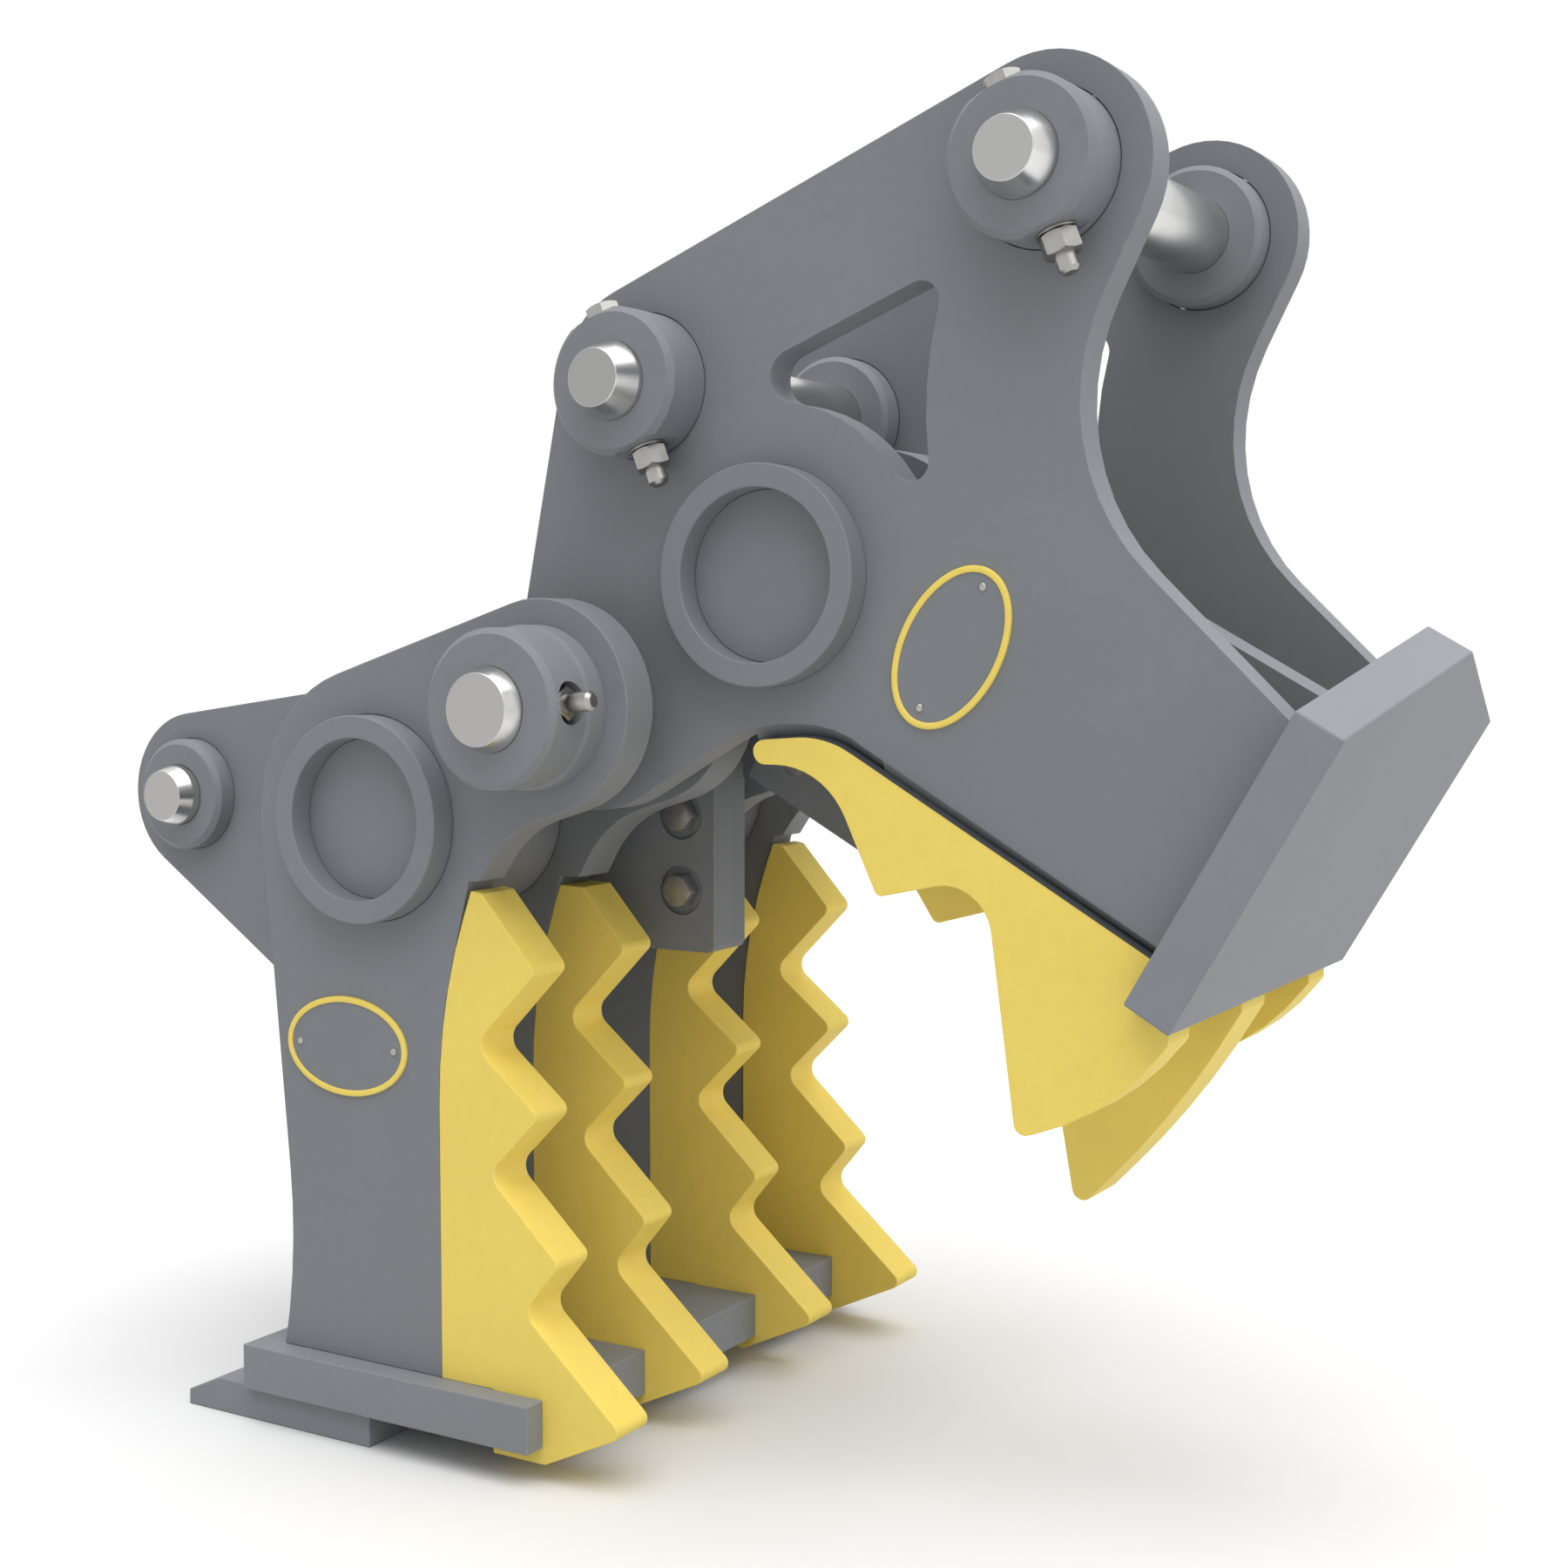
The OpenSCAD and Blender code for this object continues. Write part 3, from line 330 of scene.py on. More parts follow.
def softEdged(node, edge, material, reshaped=None, moved=None):
    # A copy of a CAD part, its triangles joined into flats and its edges rounded to the radius edge. Its
    # points go through moved() before they are joined, and through reshaped() after that
    work = bmesh.new()
    work.from_mesh(frame["nodes"][node].data)
    bmesh.ops.remove_doubles(work, verts=work.verts, dist=softening["merge"])
    if moved:
        for vertex, point in zip(work.verts, pointsOf(work, moved)):
            vertex.co = point
        bmesh.ops.remove_doubles(work, verts=work.verts, dist=softening["merge"])
        bmesh.ops.dissolve_degenerate(work, dist=softening["merge"], edges=work.edges)
    bmesh.ops.dissolve_limit(work, angle_limit=softening["flat"], verts=work.verts, edges=work.edges)
    work.verts.index_update()
    faces = [[vertex.index for vertex in face.verts] for face in work.faces]
    piece = meshPiece("soft_" + node, pointsOf(work, reshaped).tolist(), faces)
    work.free()
    rounding = piece.modifiers.new("edges", "BEVEL")
    rounding.width = edge
    rounding.segments = softening["segments"]
    rounding.limit_method = "ANGLE"
    rounding.angle_limit = softening["corner"]
    rounding.harden_normals = True
    place(piece, bodyOf(node), material, [node])


turnedCorner = {"points": 5, "most": 0.45, "outside": 1.08}  # most: share of a side that a curve may take


def rounded(profile, radius):
    # Profile of (radius, length) points whose inner corners become curves: a point of the curve is the
    # corner plus the square of its share of the way back and ahead. A point just outside each end of the
    # curve holds the flats
    made = [profile[0]]
    share = np.linspace(0, 1, turnedCorner["points"])[:, None]
    for before, corner, after in zip(profile, profile[1:], profile[2:]):
        before, corner, after = (np.array(point, float) for point in (before, corner, after))
        back, ahead = before - corner, after - corner
        reach = min(radius, *(turnedCorner["most"] * np.linalg.norm(way) for way in (back, ahead)))
        back, ahead = (reach * way / np.linalg.norm(way) for way in (back, ahead))
        curve = corner + back * (1 - share) ** 2 + ahead * share ** 2
        made += [corner + back * turnedCorner["outside"], *curve, corner + ahead * turnedCorner["outside"]]
    return np.array([*made, profile[-1]], float)


def gridFaces(rows, columns):
    # Quads of a grid whose columns close on themselves
    row, column = np.meshgrid(np.arange(rows - 1), np.arange(columns), indexing="ij")
    after = (column + 1) % columns
    here, above = row * columns, (row + 1) * columns
    return np.stack((here + column, here + after, above + after, above + column), -1).reshape(-1, 4)


def axisFrame(centre, along):
    # Origin and three unit vectors, the third along the axis and the first in the plane of the plates
    third = np.array(along, float)
    third = third / np.linalg.norm(third)
    first = np.cross((0.0, 1.0, 0.0) if abs(third[1]) < 0.9 else (0.0, 0.0, 1.0), third)
    first = first / np.linalg.norm(first)
    return np.array(centre, float), first, np.cross(third, first), third


def grid(radii, lengths, angles, axis):
    # Surface of points about an axis: the origin, plus the radius times the cosine and sine of the angle
    # along the first two vectors, plus the length along the third
    origin, first, second, third = axis
    radii = np.broadcast_to(radii, (radii.shape[0], len(angles)))
    lengths = np.broadcast_to(lengths, radii.shape)
    points = (origin + radii[..., None] * (np.cos(angles)[:, None] * first + np.sin(angles)[:, None] * second)
              + lengths[..., None] * third)
    return points.reshape(-1, 3), gridFaces(len(radii), len(angles))


def turned(profile, axis, edge, around):
    # Profile turned about an axis: every row is a circle
    rows = rounded(profile, edge)
    angles = np.linspace(0, 2 * math.pi, around, endpoint=False)
    return grid(rows[:, :1], rows[:, 1:], angles, axis)


nutShape = {"around": 120, "ring": 0.475, "lean": 30}  # ring: radius of the end, as a share of the flats


def hexagonal(bore, flats, ends, axis, flatTop=False, closed=False, lean=nutShape["lean"]):
    # Hexagon of a width across flats: its radius is half of that over the cosine of the angle from the
    # middle of a face. Cones cut its ends, so that each face ends in a curve: the drop is the radius less
    # the end ring's, times the tangent of the cone's lean, which at the far end may differ
    angles = np.linspace(0, 2 * math.pi, nutShape["around"], endpoint=False)
    hexagon = flats / 2 / np.cos(angles % (math.pi / 3) - math.pi / 6)
    level = np.ones_like(hexagon)
    ring = nutShape["ring"] * flats
    over = hexagon - ring
    low, high = (end * level for end in ends)
    nearDrop = over * math.tan(math.radians(nutShape["lean"]))
    rows = [(bore * level, low), (ring * level, low), (hexagon, low + nearDrop)]
    if flatTop:
        rows.append((hexagon, high))
    else:
        rows += [(hexagon, high - over * math.tan(math.radians(lean))), (ring * level, high)]
    if not closed:
        rows.append((bore * level, high))
    radii, lengths = (np.array(part) for part in zip(*rows))
    return grid(radii, lengths, angles, axis)


# Weld seam above the outer upper teeth. Places near it are given along the seam and at a height over it,
# from the lower rear corner of the nose block, or by an angle about the throat's centre.
seam = {
    "corner": (0.542, -0.585), "slope": math.radians(28.6),
    "throat": (0.170, -0.492), "radius": 0.150,  # the round hollow of the plate behind the tooth
    "widening": 0.0058, "widenFrom": math.radians(95), "throatEnd": math.radians(62),
    "tail": (0.193, -0.462), "tailRadius": 0.105, "tailRise": 0.004,  # the tooth's tail: its large round
    "tailEnd": (0.148, -0.369), "tailEndRadius": 0.013,  # and its small one
    "tailCircles": 25,  # from the one to the other
    "outside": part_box("upper_side_plate_left")[1].y,  # y of the plate's outer face
    "bevelDepth": 0.0105,  # how far the bevel goes in from there
    "face": 0.051, "faceClimb": 0.021,  # the face line's height at the corner, and its climb to the rear
    "foot": 0.042, "footClimb": 0.0213,  # the same for the bevel's foot
}
# The same seam in the solids, and how points on it are told from others
solidSeam = {
    "face": 0.052, "foot": 0.046, "toothTop": 0.0458,  # heights of its lines
    "near": 0.0006, "topNear": 0.0004,  # a point this near lies on a line or an arc, or on the tooth's top
    "outer": 0.229, "inner": 0.22,  # a point beyond these is on the outer face, or on the bevel's foot
    "along": (-0.48, 0.01), "height": (0.02, 0.06),  # where the bevel is
    "throatFrom": 0.5, "straightFrom": -0.332, "footFrom": -0.33,  # an angle, and two places along it
    "backOver": 0.05, "topReach": 0.01,  # height of the tail's back over its centre, and length of the top
}
weld = {
    "angles": np.radians(np.linspace(105, 63, 22)),  # stations about the throat
    "tail": np.linspace(-0.36, -0.3, 5), "ledge": np.linspace(-0.36, -0.004, 24),  # and along the seam
    "smoothUnder": 30,
    "lap": 0.0004, "sink": 0.0006, "under": 0.0002, "deep": 0.2,  # of the tail weld
}
# Section of the ledge bead, which carries the painted shade over the tooth's upper edge
bead = {"behind": 0.002, "proud": 0.0002, "high": 0.0012, "brow": (0.0012, 0.0005), "lip": -0.0002,
        "low": -0.0011}


def alongSeam(x, z):
    # Distance along the seam and height over it: x and z from its corner, turned by its slope
    right, up = x - seam["corner"][0], z - seam["corner"][1]
    lean = seam["slope"]
    return right * math.cos(lean) - up * math.sin(lean), right * math.sin(lean) + up * math.cos(lean)


def offSeam(along, height):
    # Back from the seam to x and z
    lean = seam["slope"]
    return (seam["corner"][0] + along * math.cos(lean) + height * math.sin(lean),
            seam["corner"][1] - along * math.sin(lean) + height * math.cos(lean))


def aboutThroat(angle, radius):
    # x and z at an angle and a radius about the throat's centre
    return seam["throat"][0] + radius * np.cos(angle), seam["throat"][1] + radius * np.sin(angle)


def faceHeight(along):
    # Lower edge of the plate's outer face: a straight line that rises to the rear
    return seam["face"] - seam["faceClimb"] * along


def footHeight(along):
    # Foot of the bevel, which is the tooth's upper edge: another straight line
    return seam["foot"] - seam["footClimb"] * along


def throatRadius(angle):
    # The throat widens towards the seam: its radius plus the widening times a smooth step of the angle
    share = np.clip((seam["widenFrom"] - angle) / (seam["widenFrom"] - seam["throatEnd"]), 0, 1)
    return seam["radius"] + seam["widening"] * share * share * (3 - 2 * share)


def tailBack(angle):
    # Radius about the throat's centre to the back of the tail: the furthest place where a ray at the angle
    # leaves one of the circles between the tail's two round ends
    share = np.linspace(0, 1, seam["tailCircles"])[:, None]
    tail, tailEnd, throat = (np.array(seam[name]) for name in ("tail", "tailEnd", "throat"))
    right, up = ((1 - share) * tail + share * tailEnd - throat).T[..., None]
    radius = (seam["tailRadius"] + seam["tailRise"]) * (1 - share) + seam["tailEndRadius"] * share
    near = right * np.cos(angle) + up * np.sin(angle)
    off = right * np.sin(angle) - up * np.cos(angle)
    leaving = near + np.sqrt(np.maximum(radius ** 2 - off ** 2, 0))
    return np.where(abs(off) < radius, leaving, 0).max(axis=0)


def beveledPlate(x, y, z):
    # Widens the weld bevel of an upper side plate and carries it into the throat: points on the lower edge
    # of the outer face go to the face line or the widened throat, and the bevel's foot goes to the foot line
    along, height = alongSeam(x, z)
    right, up = x - seam["throat"][0], z - seam["throat"][1]
    angle = np.arctan2(up, right)
    (rear, front), (low, high) = solidSeam["along"], solidSeam["height"]
    near = (along > rear) & (along < front) & (height > low) & (height < high)
    outer = near & (abs(y) > solidSeam["outer"])
    onArc = abs(np.hypot(right, up) - seam["radius"]) < solidSeam["near"]
    inThroat = outer & onArc & (angle > solidSeam["throatFrom"])
    bent = inThroat & (angle > seam["throatEnd"])
    face = outer & ~inThroat & (abs(height - solidSeam["face"]) < solidSeam["near"])
    foot = near & ~inThroat & ~face & (abs(height - solidSeam["foot"]) < solidSeam["near"])
    foot &= along > solidSeam["footFrom"]
    straight = np.where(inThroat, np.minimum(along, solidSeam["straightFrom"]), along)
    for chosen, (newX, newZ) in ((bent, aboutThroat(angle, throatRadius(angle))),
                                 (face | (inThroat & ~bent), offSeam(straight, faceHeight(straight))),
                                 (foot, offSeam(along, footHeight(along)))):
        x, z = np.where(chosen, newX, x), np.where(chosen, newZ, z)
    deep = np.copysign(seam["outside"] - seam["bevelDepth"], y)
    return x, np.where(foot & (abs(y) > solidSeam["inner"]), deep, y), z


def raisedTail(x, y, z):
    # Brings the back of an upper tooth's tail up to the bevel, by a larger radius about the tail's centre,
    # and the tooth's top down to the foot line at the nose block
    along, height = alongSeam(x, z)
    right, up = x - seam["tail"][0], z - seam["tail"][1]
    reach = np.hypot(right, up)
    back = (abs(reach - seam["tailRadius"]) < solidSeam["near"]) & (up > solidSeam["backOver"])
    grown = np.where(back, (seam["tailRadius"] + seam["tailRise"]) / reach, 1)
    x, z = seam["tail"][0] + right * grown, seam["tail"][1] + up * grown
    top = ~back & (abs(height - solidSeam["toothTop"]) < solidSeam["topNear"])
    top &= abs(along) < solidSeam["topReach"]
    topX, topZ = offSeam(along, footHeight(along))
    return np.where(top, topX, x), y, np.where(top, topZ, z)


def seamLine(along, radius, height):
    # x and z of a line that follows the throat through the weld's angles and then the seam
    return np.concatenate((aboutThroat(weld["angles"], radius), offSeam(along, height)), axis=1)


def weldPiece(kind, side, lines, material):
    # A closed bar along the seam: each of its lines has an x and z for every station and a y of its own
    points = np.stack([np.stack((x, np.full_like(x, side * y), z), -1) for (x, z), y in lines], 1)
    stations, corners = points.shape[:2]
    last = (stations - 1) * corners
    faces = gridFaces(stations, corners).tolist()
    faces += [list(range(corners))[::-1], [last + index for index in range(corners)]]
    faces = [face[::-side] for face in faces]
    name = kind + ("_left" if side > 0 else "_right")
    piece = meshPiece(name, points.reshape(-1, 3).tolist(), faces, weld["smoothUnder"])
    place(piece, "upper_jaw", material)


def tailWeld(side):
    # Closes the bevel between the throat's face edge and the back of the tail: a four-sided bar that
    # follows both, through angles about the throat and then along the seam
    along = weld["tail"]
    lap, sink, deep = weld["lap"], weld["sink"], weld["deep"]
    outer = seamLine(along, throatRadius(weld["angles"]) + lap, faceHeight(along) + lap)
    inner = seamLine(along, tailBack(weld["angles"]) - sink, footHeight(along) - sink)
    face, foot = seam["outside"] - weld["under"], seam["outside"] - seam["bevelDepth"]
    weldPiece("tail_weld", side, ((outer, face), (inner, foot), (inner, deep), (outer, deep)), greyPaint)


def shadedLedgeBead(side):
    # A flat bead on top of the tooth, from its tail to the nose block: it fills the foot of the bevel
    # and laps over the tooth's upper edge. Its near-black paint is painted shade for the groove above the
    # tooth
    along, back = weld["ledge"], tailBack(weld["angles"])
    foot = seam["outside"] - seam["bevelDepth"] - bead["behind"]
    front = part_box("upper_tooth_left")[1].y + bead["proud"]
    inwards, brow = bead["brow"]
    section = [(foot, bead["high"]), (front - inwards, brow), (front, bead["lip"]), (front, bead["low"]),
               (foot, bead["low"])]
    lines = [(seamLine(along, back + rise, footHeight(along) + rise), y) for y, rise in section]
    weldPiece("ledge_painted_shade", side, lines, seamShadePaint)


# Retaining bolts of the arm pins, whose seats are flats on the bosses
dipper, link, pivot = middleOf("dipper_pin"), middleOf("link_pin"), middleOf("pivot_pin")
armBolt = {
    "slope": math.atan2(link.z - dipper.z, link.x - dipper.x) - math.pi / 2,  # square to the line of the pins
    "seat": 0.069, "across": 0.2595,  # the seat's distance from the pin's axis, and the bolt's y
    "flatReach": 0.0195,  # from the bolt to where the solid's flat ends
    "flats": 0.033, "head": 0.015, "radius": 0.0105, "washer": 0.003, "washerRadius": 0.0198,
    "nut": 0.021, "stud": 0.018,
}
bossHole = {"solid": 0.0742, "loose": 0.0750, "near": 0.0005}  # its radius in the solids and here


def openFlat(centre):
    # Carries the flats of an arm boss through its outer face: what stands over the seat goes back to it
    def moved(x, y, z):
        right, up = math.cos(armBolt["slope"]), math.sin(armBolt["slope"])
        over = (x - centre.x) * right + (z - centre.z) * up
        extra = np.copysign(np.maximum(abs(over) - armBolt["seat"], 0), over)
        extra = np.where(abs(y) < armBolt["across"] + armBolt["flatReach"], 0, extra)
        return x - extra * right, y, z - extra * up

    return moved


def looseHoles(x, y, z):
    # A fine dark gap round the arm bosses: the points of their holes go out to a larger radius
    for centre in (dipper, link):
        right, up = x - centre.x, z - centre.z
        radius = np.hypot(right, up)
        grown = np.where(abs(radius - bossHole["solid"]) < bossHole["near"], bossHole["loose"] / radius, 1)
        x, z = centre.x + right * grown, centre.z + up * grown
    return x, y, z


# Plates, blocks and tubes, by the radius of their edges
def nodesOf(name):
    # A CAD part, or the left and the right one of that name
    return [node for node in (name, name + "_left", name + "_right") if node in frame["nodes"]]


plates = {
    "upper_side_plate": 0.0016, "centre_plate": 0.0014, "nose_block": 0.0025, "cutter_bracket": 0.0014,
    "base_plate": 0.0012, "heel_plate": 0.0016, "lower_side_plate": 0.0016, "lower_inner_plate": 0.0016,
    "cutter_carrier": 0.0003, "dipper_boss": 0.0012, "link_boss": 0.0012, "pivot_boss": 0.0012,
    "strut_boss": 0.0012, "upper_torque_tube": 0.0018, "lower_torque_tube": 0.0018,
    "upper_tube_cap": 0.0012, "lower_tube_cap": 0.0012, "pivot_hub": 0.0012,
}
# These blocks take the lighter copy of the grey paint, which is painted light
litBlocks = ("nose_block", "base_plate", "heel_plate")
shapes = {"upper_side_plate": beveledPlate}
moves = {"upper_side_plate": looseHoles, "dipper_boss": openFlat(dipper), "link_boss": openFlat(link)}
for name, edge in plates.items():
    coat = litGreyPaint if name in litBlocks else greyPaint
    for node in nodesOf(name):
        softEdged(node, edge, coat, shapes.get(name), moves.get(name))
for side in (-1, 1):
    tailWeld(side)
    shadedLedgeBead(side)

toothEdge = 0.001
teeth = {"upper_tooth_left": raisedTail, "upper_tooth_middle": None, "upper_tooth_right": raisedTail,
         "lower_tooth_1": None, "lower_tooth_2": None, "lower_tooth_3": None, "lower_tooth_4": None}
for node, shape in teeth.items():
    softEdged(node, toothEdge, yellowPaint, shape)

# Cutters, their bolts and the bushes: edge radius, slot and finish
fittings = {
    "upper_cutter": (0.0003, "cutter_steel", cutterPaint),
    "lower_cutter": (0.0003, "cutter_steel", cutterPaint),
    "upper_cutter_bolts": (0.0005, "fastener_zinc", dullZinc),
    "lower_cutter_bolts": (0.0005, "fastener_zinc", dullZinc),
    "pivot_bush": (0.0007, "bush_bronze", bronze),
}
for name, (edge, slot, finish) in fittings.items():
    for node in nodesOf(name):
        softEdged(node, edge, finish)
print("plates, teeth and cutters made")


# Pins
armCone = {"length": 0.026, "depth": 0.011, "edge": 0.0012, "around": 144}
plainCone = {**armCone, "length": 0.018, "depth": 0.007}


def pinPiece(node, cone, material):
    # A bar turned about the middle of the CAD pin, with a cone at each end
    radius, half = sizeOf(node).z / 2, sizeOf(node).y / 2
    small, shoulder = radius - cone["depth"], half - cone["length"]
    profile = [(0, -half), (small, -half), (radius, -shoulder), (radius, shoulder), (small, half), (0, half)]
    bar = turned(profile, axisFrame(middleOf(node), (0, 1, 0)), cone["edge"], cone["around"])
    place(surfacePiece("turned_" + node, [bar]), bodyOf(node), material, [node])


pinPiece("dipper_pin", armCone, dipperSteel)
pinPiece("link_pin", armCone, linkSteel)
pinPiece("pivot_pin", plainCone, pivotSteel)
pinPiece("strut_pin", plainCone, strutSteel)
print("pins made")


# Bolts, nuts and washers of the pins
thread = {"cone": 0.36, "sunk": 0.002, "edge": 0.0007, "washerEdge": 0.0006, "around": 64}


def retainingBolt(centre, side, bolt):
    # A bolt through a boss: its head under the lower seat, a nut over the upper one, perhaps on a washer,
    # and a coned end
    slope, seat, radius = bolt["slope"], bolt["seat"], bolt["radius"]
    axis = axisFrame((centre.x, side * bolt["across"], centre.z), (math.cos(slope), 0, math.sin(slope)))
    foot = seat + bolt["washer"]
    top = foot + bolt["nut"]
    end = top + bolt["stud"]
    cone = thread["cone"] * radius
    head = hexagonal(0.0, bolt["flats"], (-seat - bolt["head"], -seat), axis, flatTop=True)
    shank = [(radius, -seat - thread["sunk"]), (radius, end - cone), (radius - cone, end), (0, end)]
    made = {"bolt": [head, turned(shank, axis, thread["edge"], thread["around"])],
            "nut": [hexagonal(radius, bolt["flats"], (foot, top), axis)]}
    if bolt["washer"]:
        wide = bolt["washerRadius"]
        ring = [(radius, seat), (wide, seat), (wide, foot), (radius, foot)]
        made["washer"] = [turned(ring, axis, thread["washerEdge"], thread["around"])]
    return made


def fasten(nodes, bolts, metal=zinc):
    # Joins what all the bolts of one kind have made, and lets it stand for the CAD part
    for kind, node in nodes.items():
        surfaces = [surface for bolt in bolts for surface in bolt[kind]]
        piece = surfacePiece("fine_" + node, surfaces, smoothUnder=32)
        place(piece, bodyOf(node), metal, [node])


armBolts = [retainingBolt(centre, side, armBolt) for centre in (dipper, link) for side in (-1, 1)]
fasten({"bolt": "arm_pin_bolts", "nut": "arm_pin_nuts", "washer": "arm_pin_washers"}, armBolts)

pivotBolt = {"slope": math.radians(5), "seat": 0.058, "across": 0.380, "flats": 0.030, "head": 0.013,
             "radius": 0.010, "washer": 0.0, "nut": 0.018, "stud": 0.030}
pivotBolts = [retainingBolt(pivot, side, pivotBolt) for side in (-1, 1)]
fasten({"bolt": "pivot_pin_bolts", "nut": "pivot_pin_nuts"}, pivotBolts)

# span: from nut to nut. dome: its height
cutterNut = {"flats": 0.036, "bore": 0.012, "span": 0.086, "dome": 0.0016, "domeRings": 5, "domeEdge": 0.0001,
             "lean": 70}


def closedNut(end):
    # A nut of the lower cutter: a long cone from the corners to a slightly domed round end, whose height
    # falls with the square of the radius
    half = sizeOf("lower_cutter_nuts").y / 2
    centre = middleOf("lower_cutter_nuts") + Vector((0, 0, end * cutterNut["span"] / 2))
    axis = axisFrame(centre, (0, -1, 0))
    height, ring = cutterNut["dome"], nutShape["ring"] * cutterNut["flats"]
    sides = hexagonal(cutterNut["bore"], cutterNut["flats"], (-half, half - height), axis, closed=True,
                      lean=cutterNut["lean"])
    shares = np.linspace(1, 0, cutterNut["domeRings"])
    profile = [(share * ring, half - height * share ** 2) for share in shares]
    return {"nut": [sides, turned(profile, axis, cutterNut["domeEdge"], nutShape["around"])]}


fasten({"nut": "lower_cutter_nuts"}, [closedNut(-1), closedNut(1)], dullZinc)
print("bolts and nuts made")


# Badges: a bare raised oval with a yellow rim and two rivets, on the near side only
badgeRim = {
    "width": 0.0065, "rise": 0.0032, "sink": 0.0005,  # sink: how far it goes into the plate
    "step": 0.0016, "lap": 0.0002, "middle": 0.5,  # of the field: its height, its lap, its middle's ring
    "shoulder": ((0.0, 0.0011), (0.0002, 0.0004), (0.0009, 0.0)),  # inwards from an edge, and under the top
    "around": 160,
}
rivet = {
    "profile": [(0.0042, 0.0), (0.0040, 0.0009), (0.0030, 0.0017), (0.0015, 0.0021), (0.0, 0.0022)],
    "edge": 0.0002, "around": 32,
}


def ovalRings(badge, rings):
    # Rings of an ellipse, each with an offset that shortens both half axes and a height above the plate,
    # turned by the badge's slope
    angles = np.linspace(0, 2 * math.pi, badgeRim["around"], endpoint=False)
    offset, height = np.array(rings).T[..., None]
    right, up = (badge["long"] - offset) * np.cos(angles), (badge["short"] - offset) * np.sin(angles)
    slope = badge["slope"]
    x = badge["x"] + right * math.cos(slope) - up * math.sin(slope)
    z = badge["z"] + right * math.sin(slope) + up * math.cos(slope)
    y = np.broadcast_to(badge["y"] - height, x.shape)
    return np.stack((x, y, z), -1).reshape(-1, 3), gridFaces(len(rings), len(angles))


def badgePieces(label, badge, body):
    width, rise, step = badgeRim["width"], badgeRim["rise"], badgeRim["step"]
    outside = [(inwards, rise - under) for inwards, under in badgeRim["shoulder"]]
    inside = [(width - inwards, rise - under) for inwards, under in badgeRim["shoulder"][:0:-1]]
    rings = [(0.0, -badgeRim["sink"]), *outside, (width / 2, rise), *inside, (width, step)]
    rim = surfacePiece("badge_rim_" + label, [ovalRings(badge, rings)], smoothUnder=50)
    place(rim, body, yellowPaint)
    fieldRings = [(width - badgeRim["lap"], step), (badge["short"] * badgeRim["middle"], step)]
    points, faces = ovalRings(badge, fieldRings)
    middle = list(range(badgeRim["around"], len(points)))
    field = meshPiece("badge_field_" + label, points.tolist(), [*faces.tolist(), middle], smoothUnder=30)
    place(field, body, greyPaint)
    rivets = []
    for reach in (-badge["rivets"], badge["rivets"]):
        centre = (badge["x"] + reach * math.cos(badge["slope"]), badge["y"] - step,
                  badge["z"] + reach * math.sin(badge["slope"]))
        rivets.append(turned(rivet["profile"], axisFrame(centre, (0, -1, 0)), rivet["edge"], rivet["around"]))
    place(surfacePiece("badge_rivets_" + label, rivets, smoothUnder=32), body, zinc)


upperBadge = {"x": 0.351, "y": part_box("upper_side_plate_right")[0].y, "z": -0.266,
              "long": 0.084, "short": 0.054, "slope": math.radians(60), "rivets": 0.066}
lowerBadge = {**upperBadge, "x": -0.321, "y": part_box("lower_side_plate_right")[0].y, "z": -0.695,
              "slope": 0.0}
badgePieces("upper", upperBadge, "upper_jaw")
badgePieces("lower", lowerBadge, "lower_jaw")
print("badges made")


# Studio
white = (1.0, 1.0, 1.0)
floorLook = {"reach": 60.0, "pale": (0.81, 0.83), "soft": 0.58, "rough": (0.75, 0.85), "grain": 1.5}
dome = {"even": 0.36, "ahead": 0.42, "above": 0.42}
sun = {"energy": 2.45, "aim": (-0.25, 0.1, -1.0), "angle": math.radians(70)}
view = {"place": (1.2622, -2.0722, -0.2601), "azimuth": math.radians(30.730),
        "elevation": math.radians(3.7665), "lens": 49.61, "sensor": 36.0, "clip": (0.05, 200.0)}


def seenDirectly(where):
    # One for what the camera sees, straight or in a mirror or through glass, and zero for soft light
    camera, glossy, clear = (where.node("LightPath", {}, kind)
                             for kind in ("Is Camera Ray", "Is Glossy Ray", "Is Transmission Ray"))
    straight = camera + glossy + clear
    return straight.sum("MINIMUM", straight, 1.0)


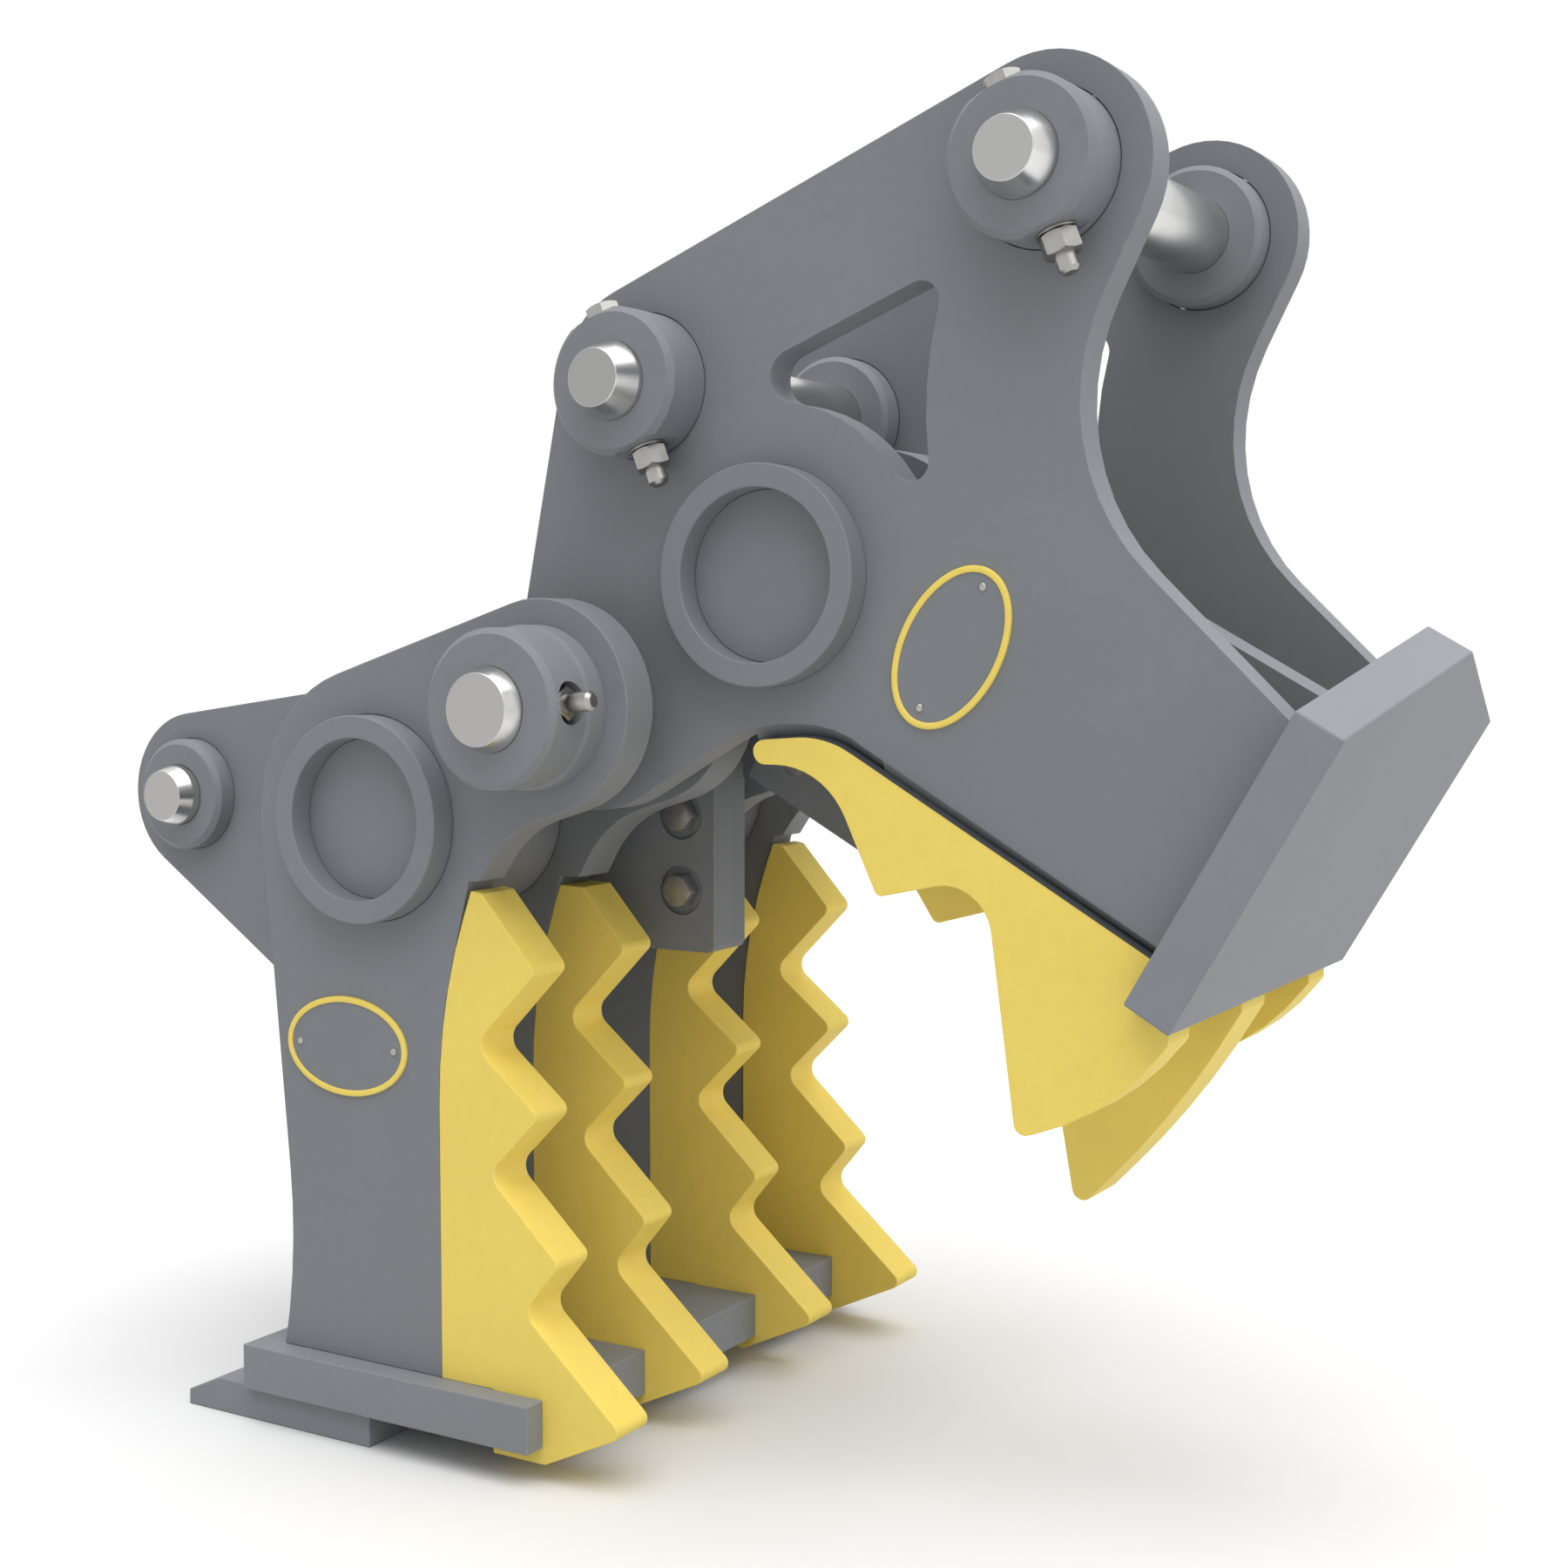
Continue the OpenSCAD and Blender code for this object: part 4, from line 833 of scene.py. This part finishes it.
def floorPiece():
    # A level square under the heel plate, pale to the camera and duller to the light that it throws back
    reach, level = floorLook["reach"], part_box("heel_plate")[0].z
    corners = [(-reach, -reach, level), (reach, -reach, level), (reach, reach, level), (-reach, reach, level)]
    floor = meshPiece("studio_floor", corners, [(0, 1, 2, 3)])

    def surface(where):
        grain = where.noise(floorLook["grain"], 4.0)
        pale = grain.stretch().blend(*(shade(white, light) for light in floorLook["pale"]))
        return {"Base Color": seenDirectly(where).blend(shade(white, floorLook["soft"]), pale),
                "Roughness": grain.stretch(floorLook["rough"])}

    floor.data.materials.append(newMaterial("studio_floor", surface, Specular_IOR_Level=0.1))


def studioWorld():
    # White to the camera, and for everything else a dome that is brighter above and in front of the nose
    world = bpy.data.worlds.new("studio")
    scene.world = world
    world.use_nodes = True
    direction = Wire(world.node_tree).node("TexCoord", {}, "Generated")
    seen = seenDirectly(direction)
    ahead = direction.part(0).ramp(0.2, 1.0) * dome["ahead"]
    above = direction.part(2).ramp(0.0, 1.0) * dome["above"]
    light = (ahead + above + dome["even"]) * (1.0 - seen) + seen
    background = world.node_tree.nodes["Background"]
    background.inputs["Color"].default_value = shade(white)
    world.node_tree.links.new(light.socket, background.inputs["Strength"])


def studioSun():
    # One wide soft lamp, which shines down and a little to the rear
    data = bpy.data.lights.new("studio_top", "SUN")
    data.energy = sun["energy"]
    data.angle = sun["angle"]
    lamp = bpy.data.objects.new("studio_top", data)
    lamp.rotation_euler = Vector(sun["aim"]).to_track_quat("-Z", "Y").to_euler()
    scene.collection.objects.link(lamp)


def photoCamera():
    # Looks at the jaws from their right side: azimuth from the -Y axis towards the nose, elevation above
    # the level
    camera = bpy.data.objects.new("camera", bpy.data.cameras.new("camera"))
    camera.data.sensor_width = view["sensor"]
    camera.data.lens = view["lens"]
    camera.data.clip_start, camera.data.clip_end = view["clip"]
    azimuth, elevation = view["azimuth"], view["elevation"]
    looking = Vector((-math.sin(azimuth) * math.cos(elevation), math.cos(azimuth) * math.cos(elevation),
                      -math.sin(elevation)))
    camera.location = view["place"]
    camera.rotation_euler = looking.to_track_quat("-Z", "Y").to_euler()
    scene.collection.objects.link(camera)
    scene.camera = camera


floorPiece()
studioWorld()
studioSun()
photoCamera()
scene.view_settings.view_transform = "Standard"
print("studio made")
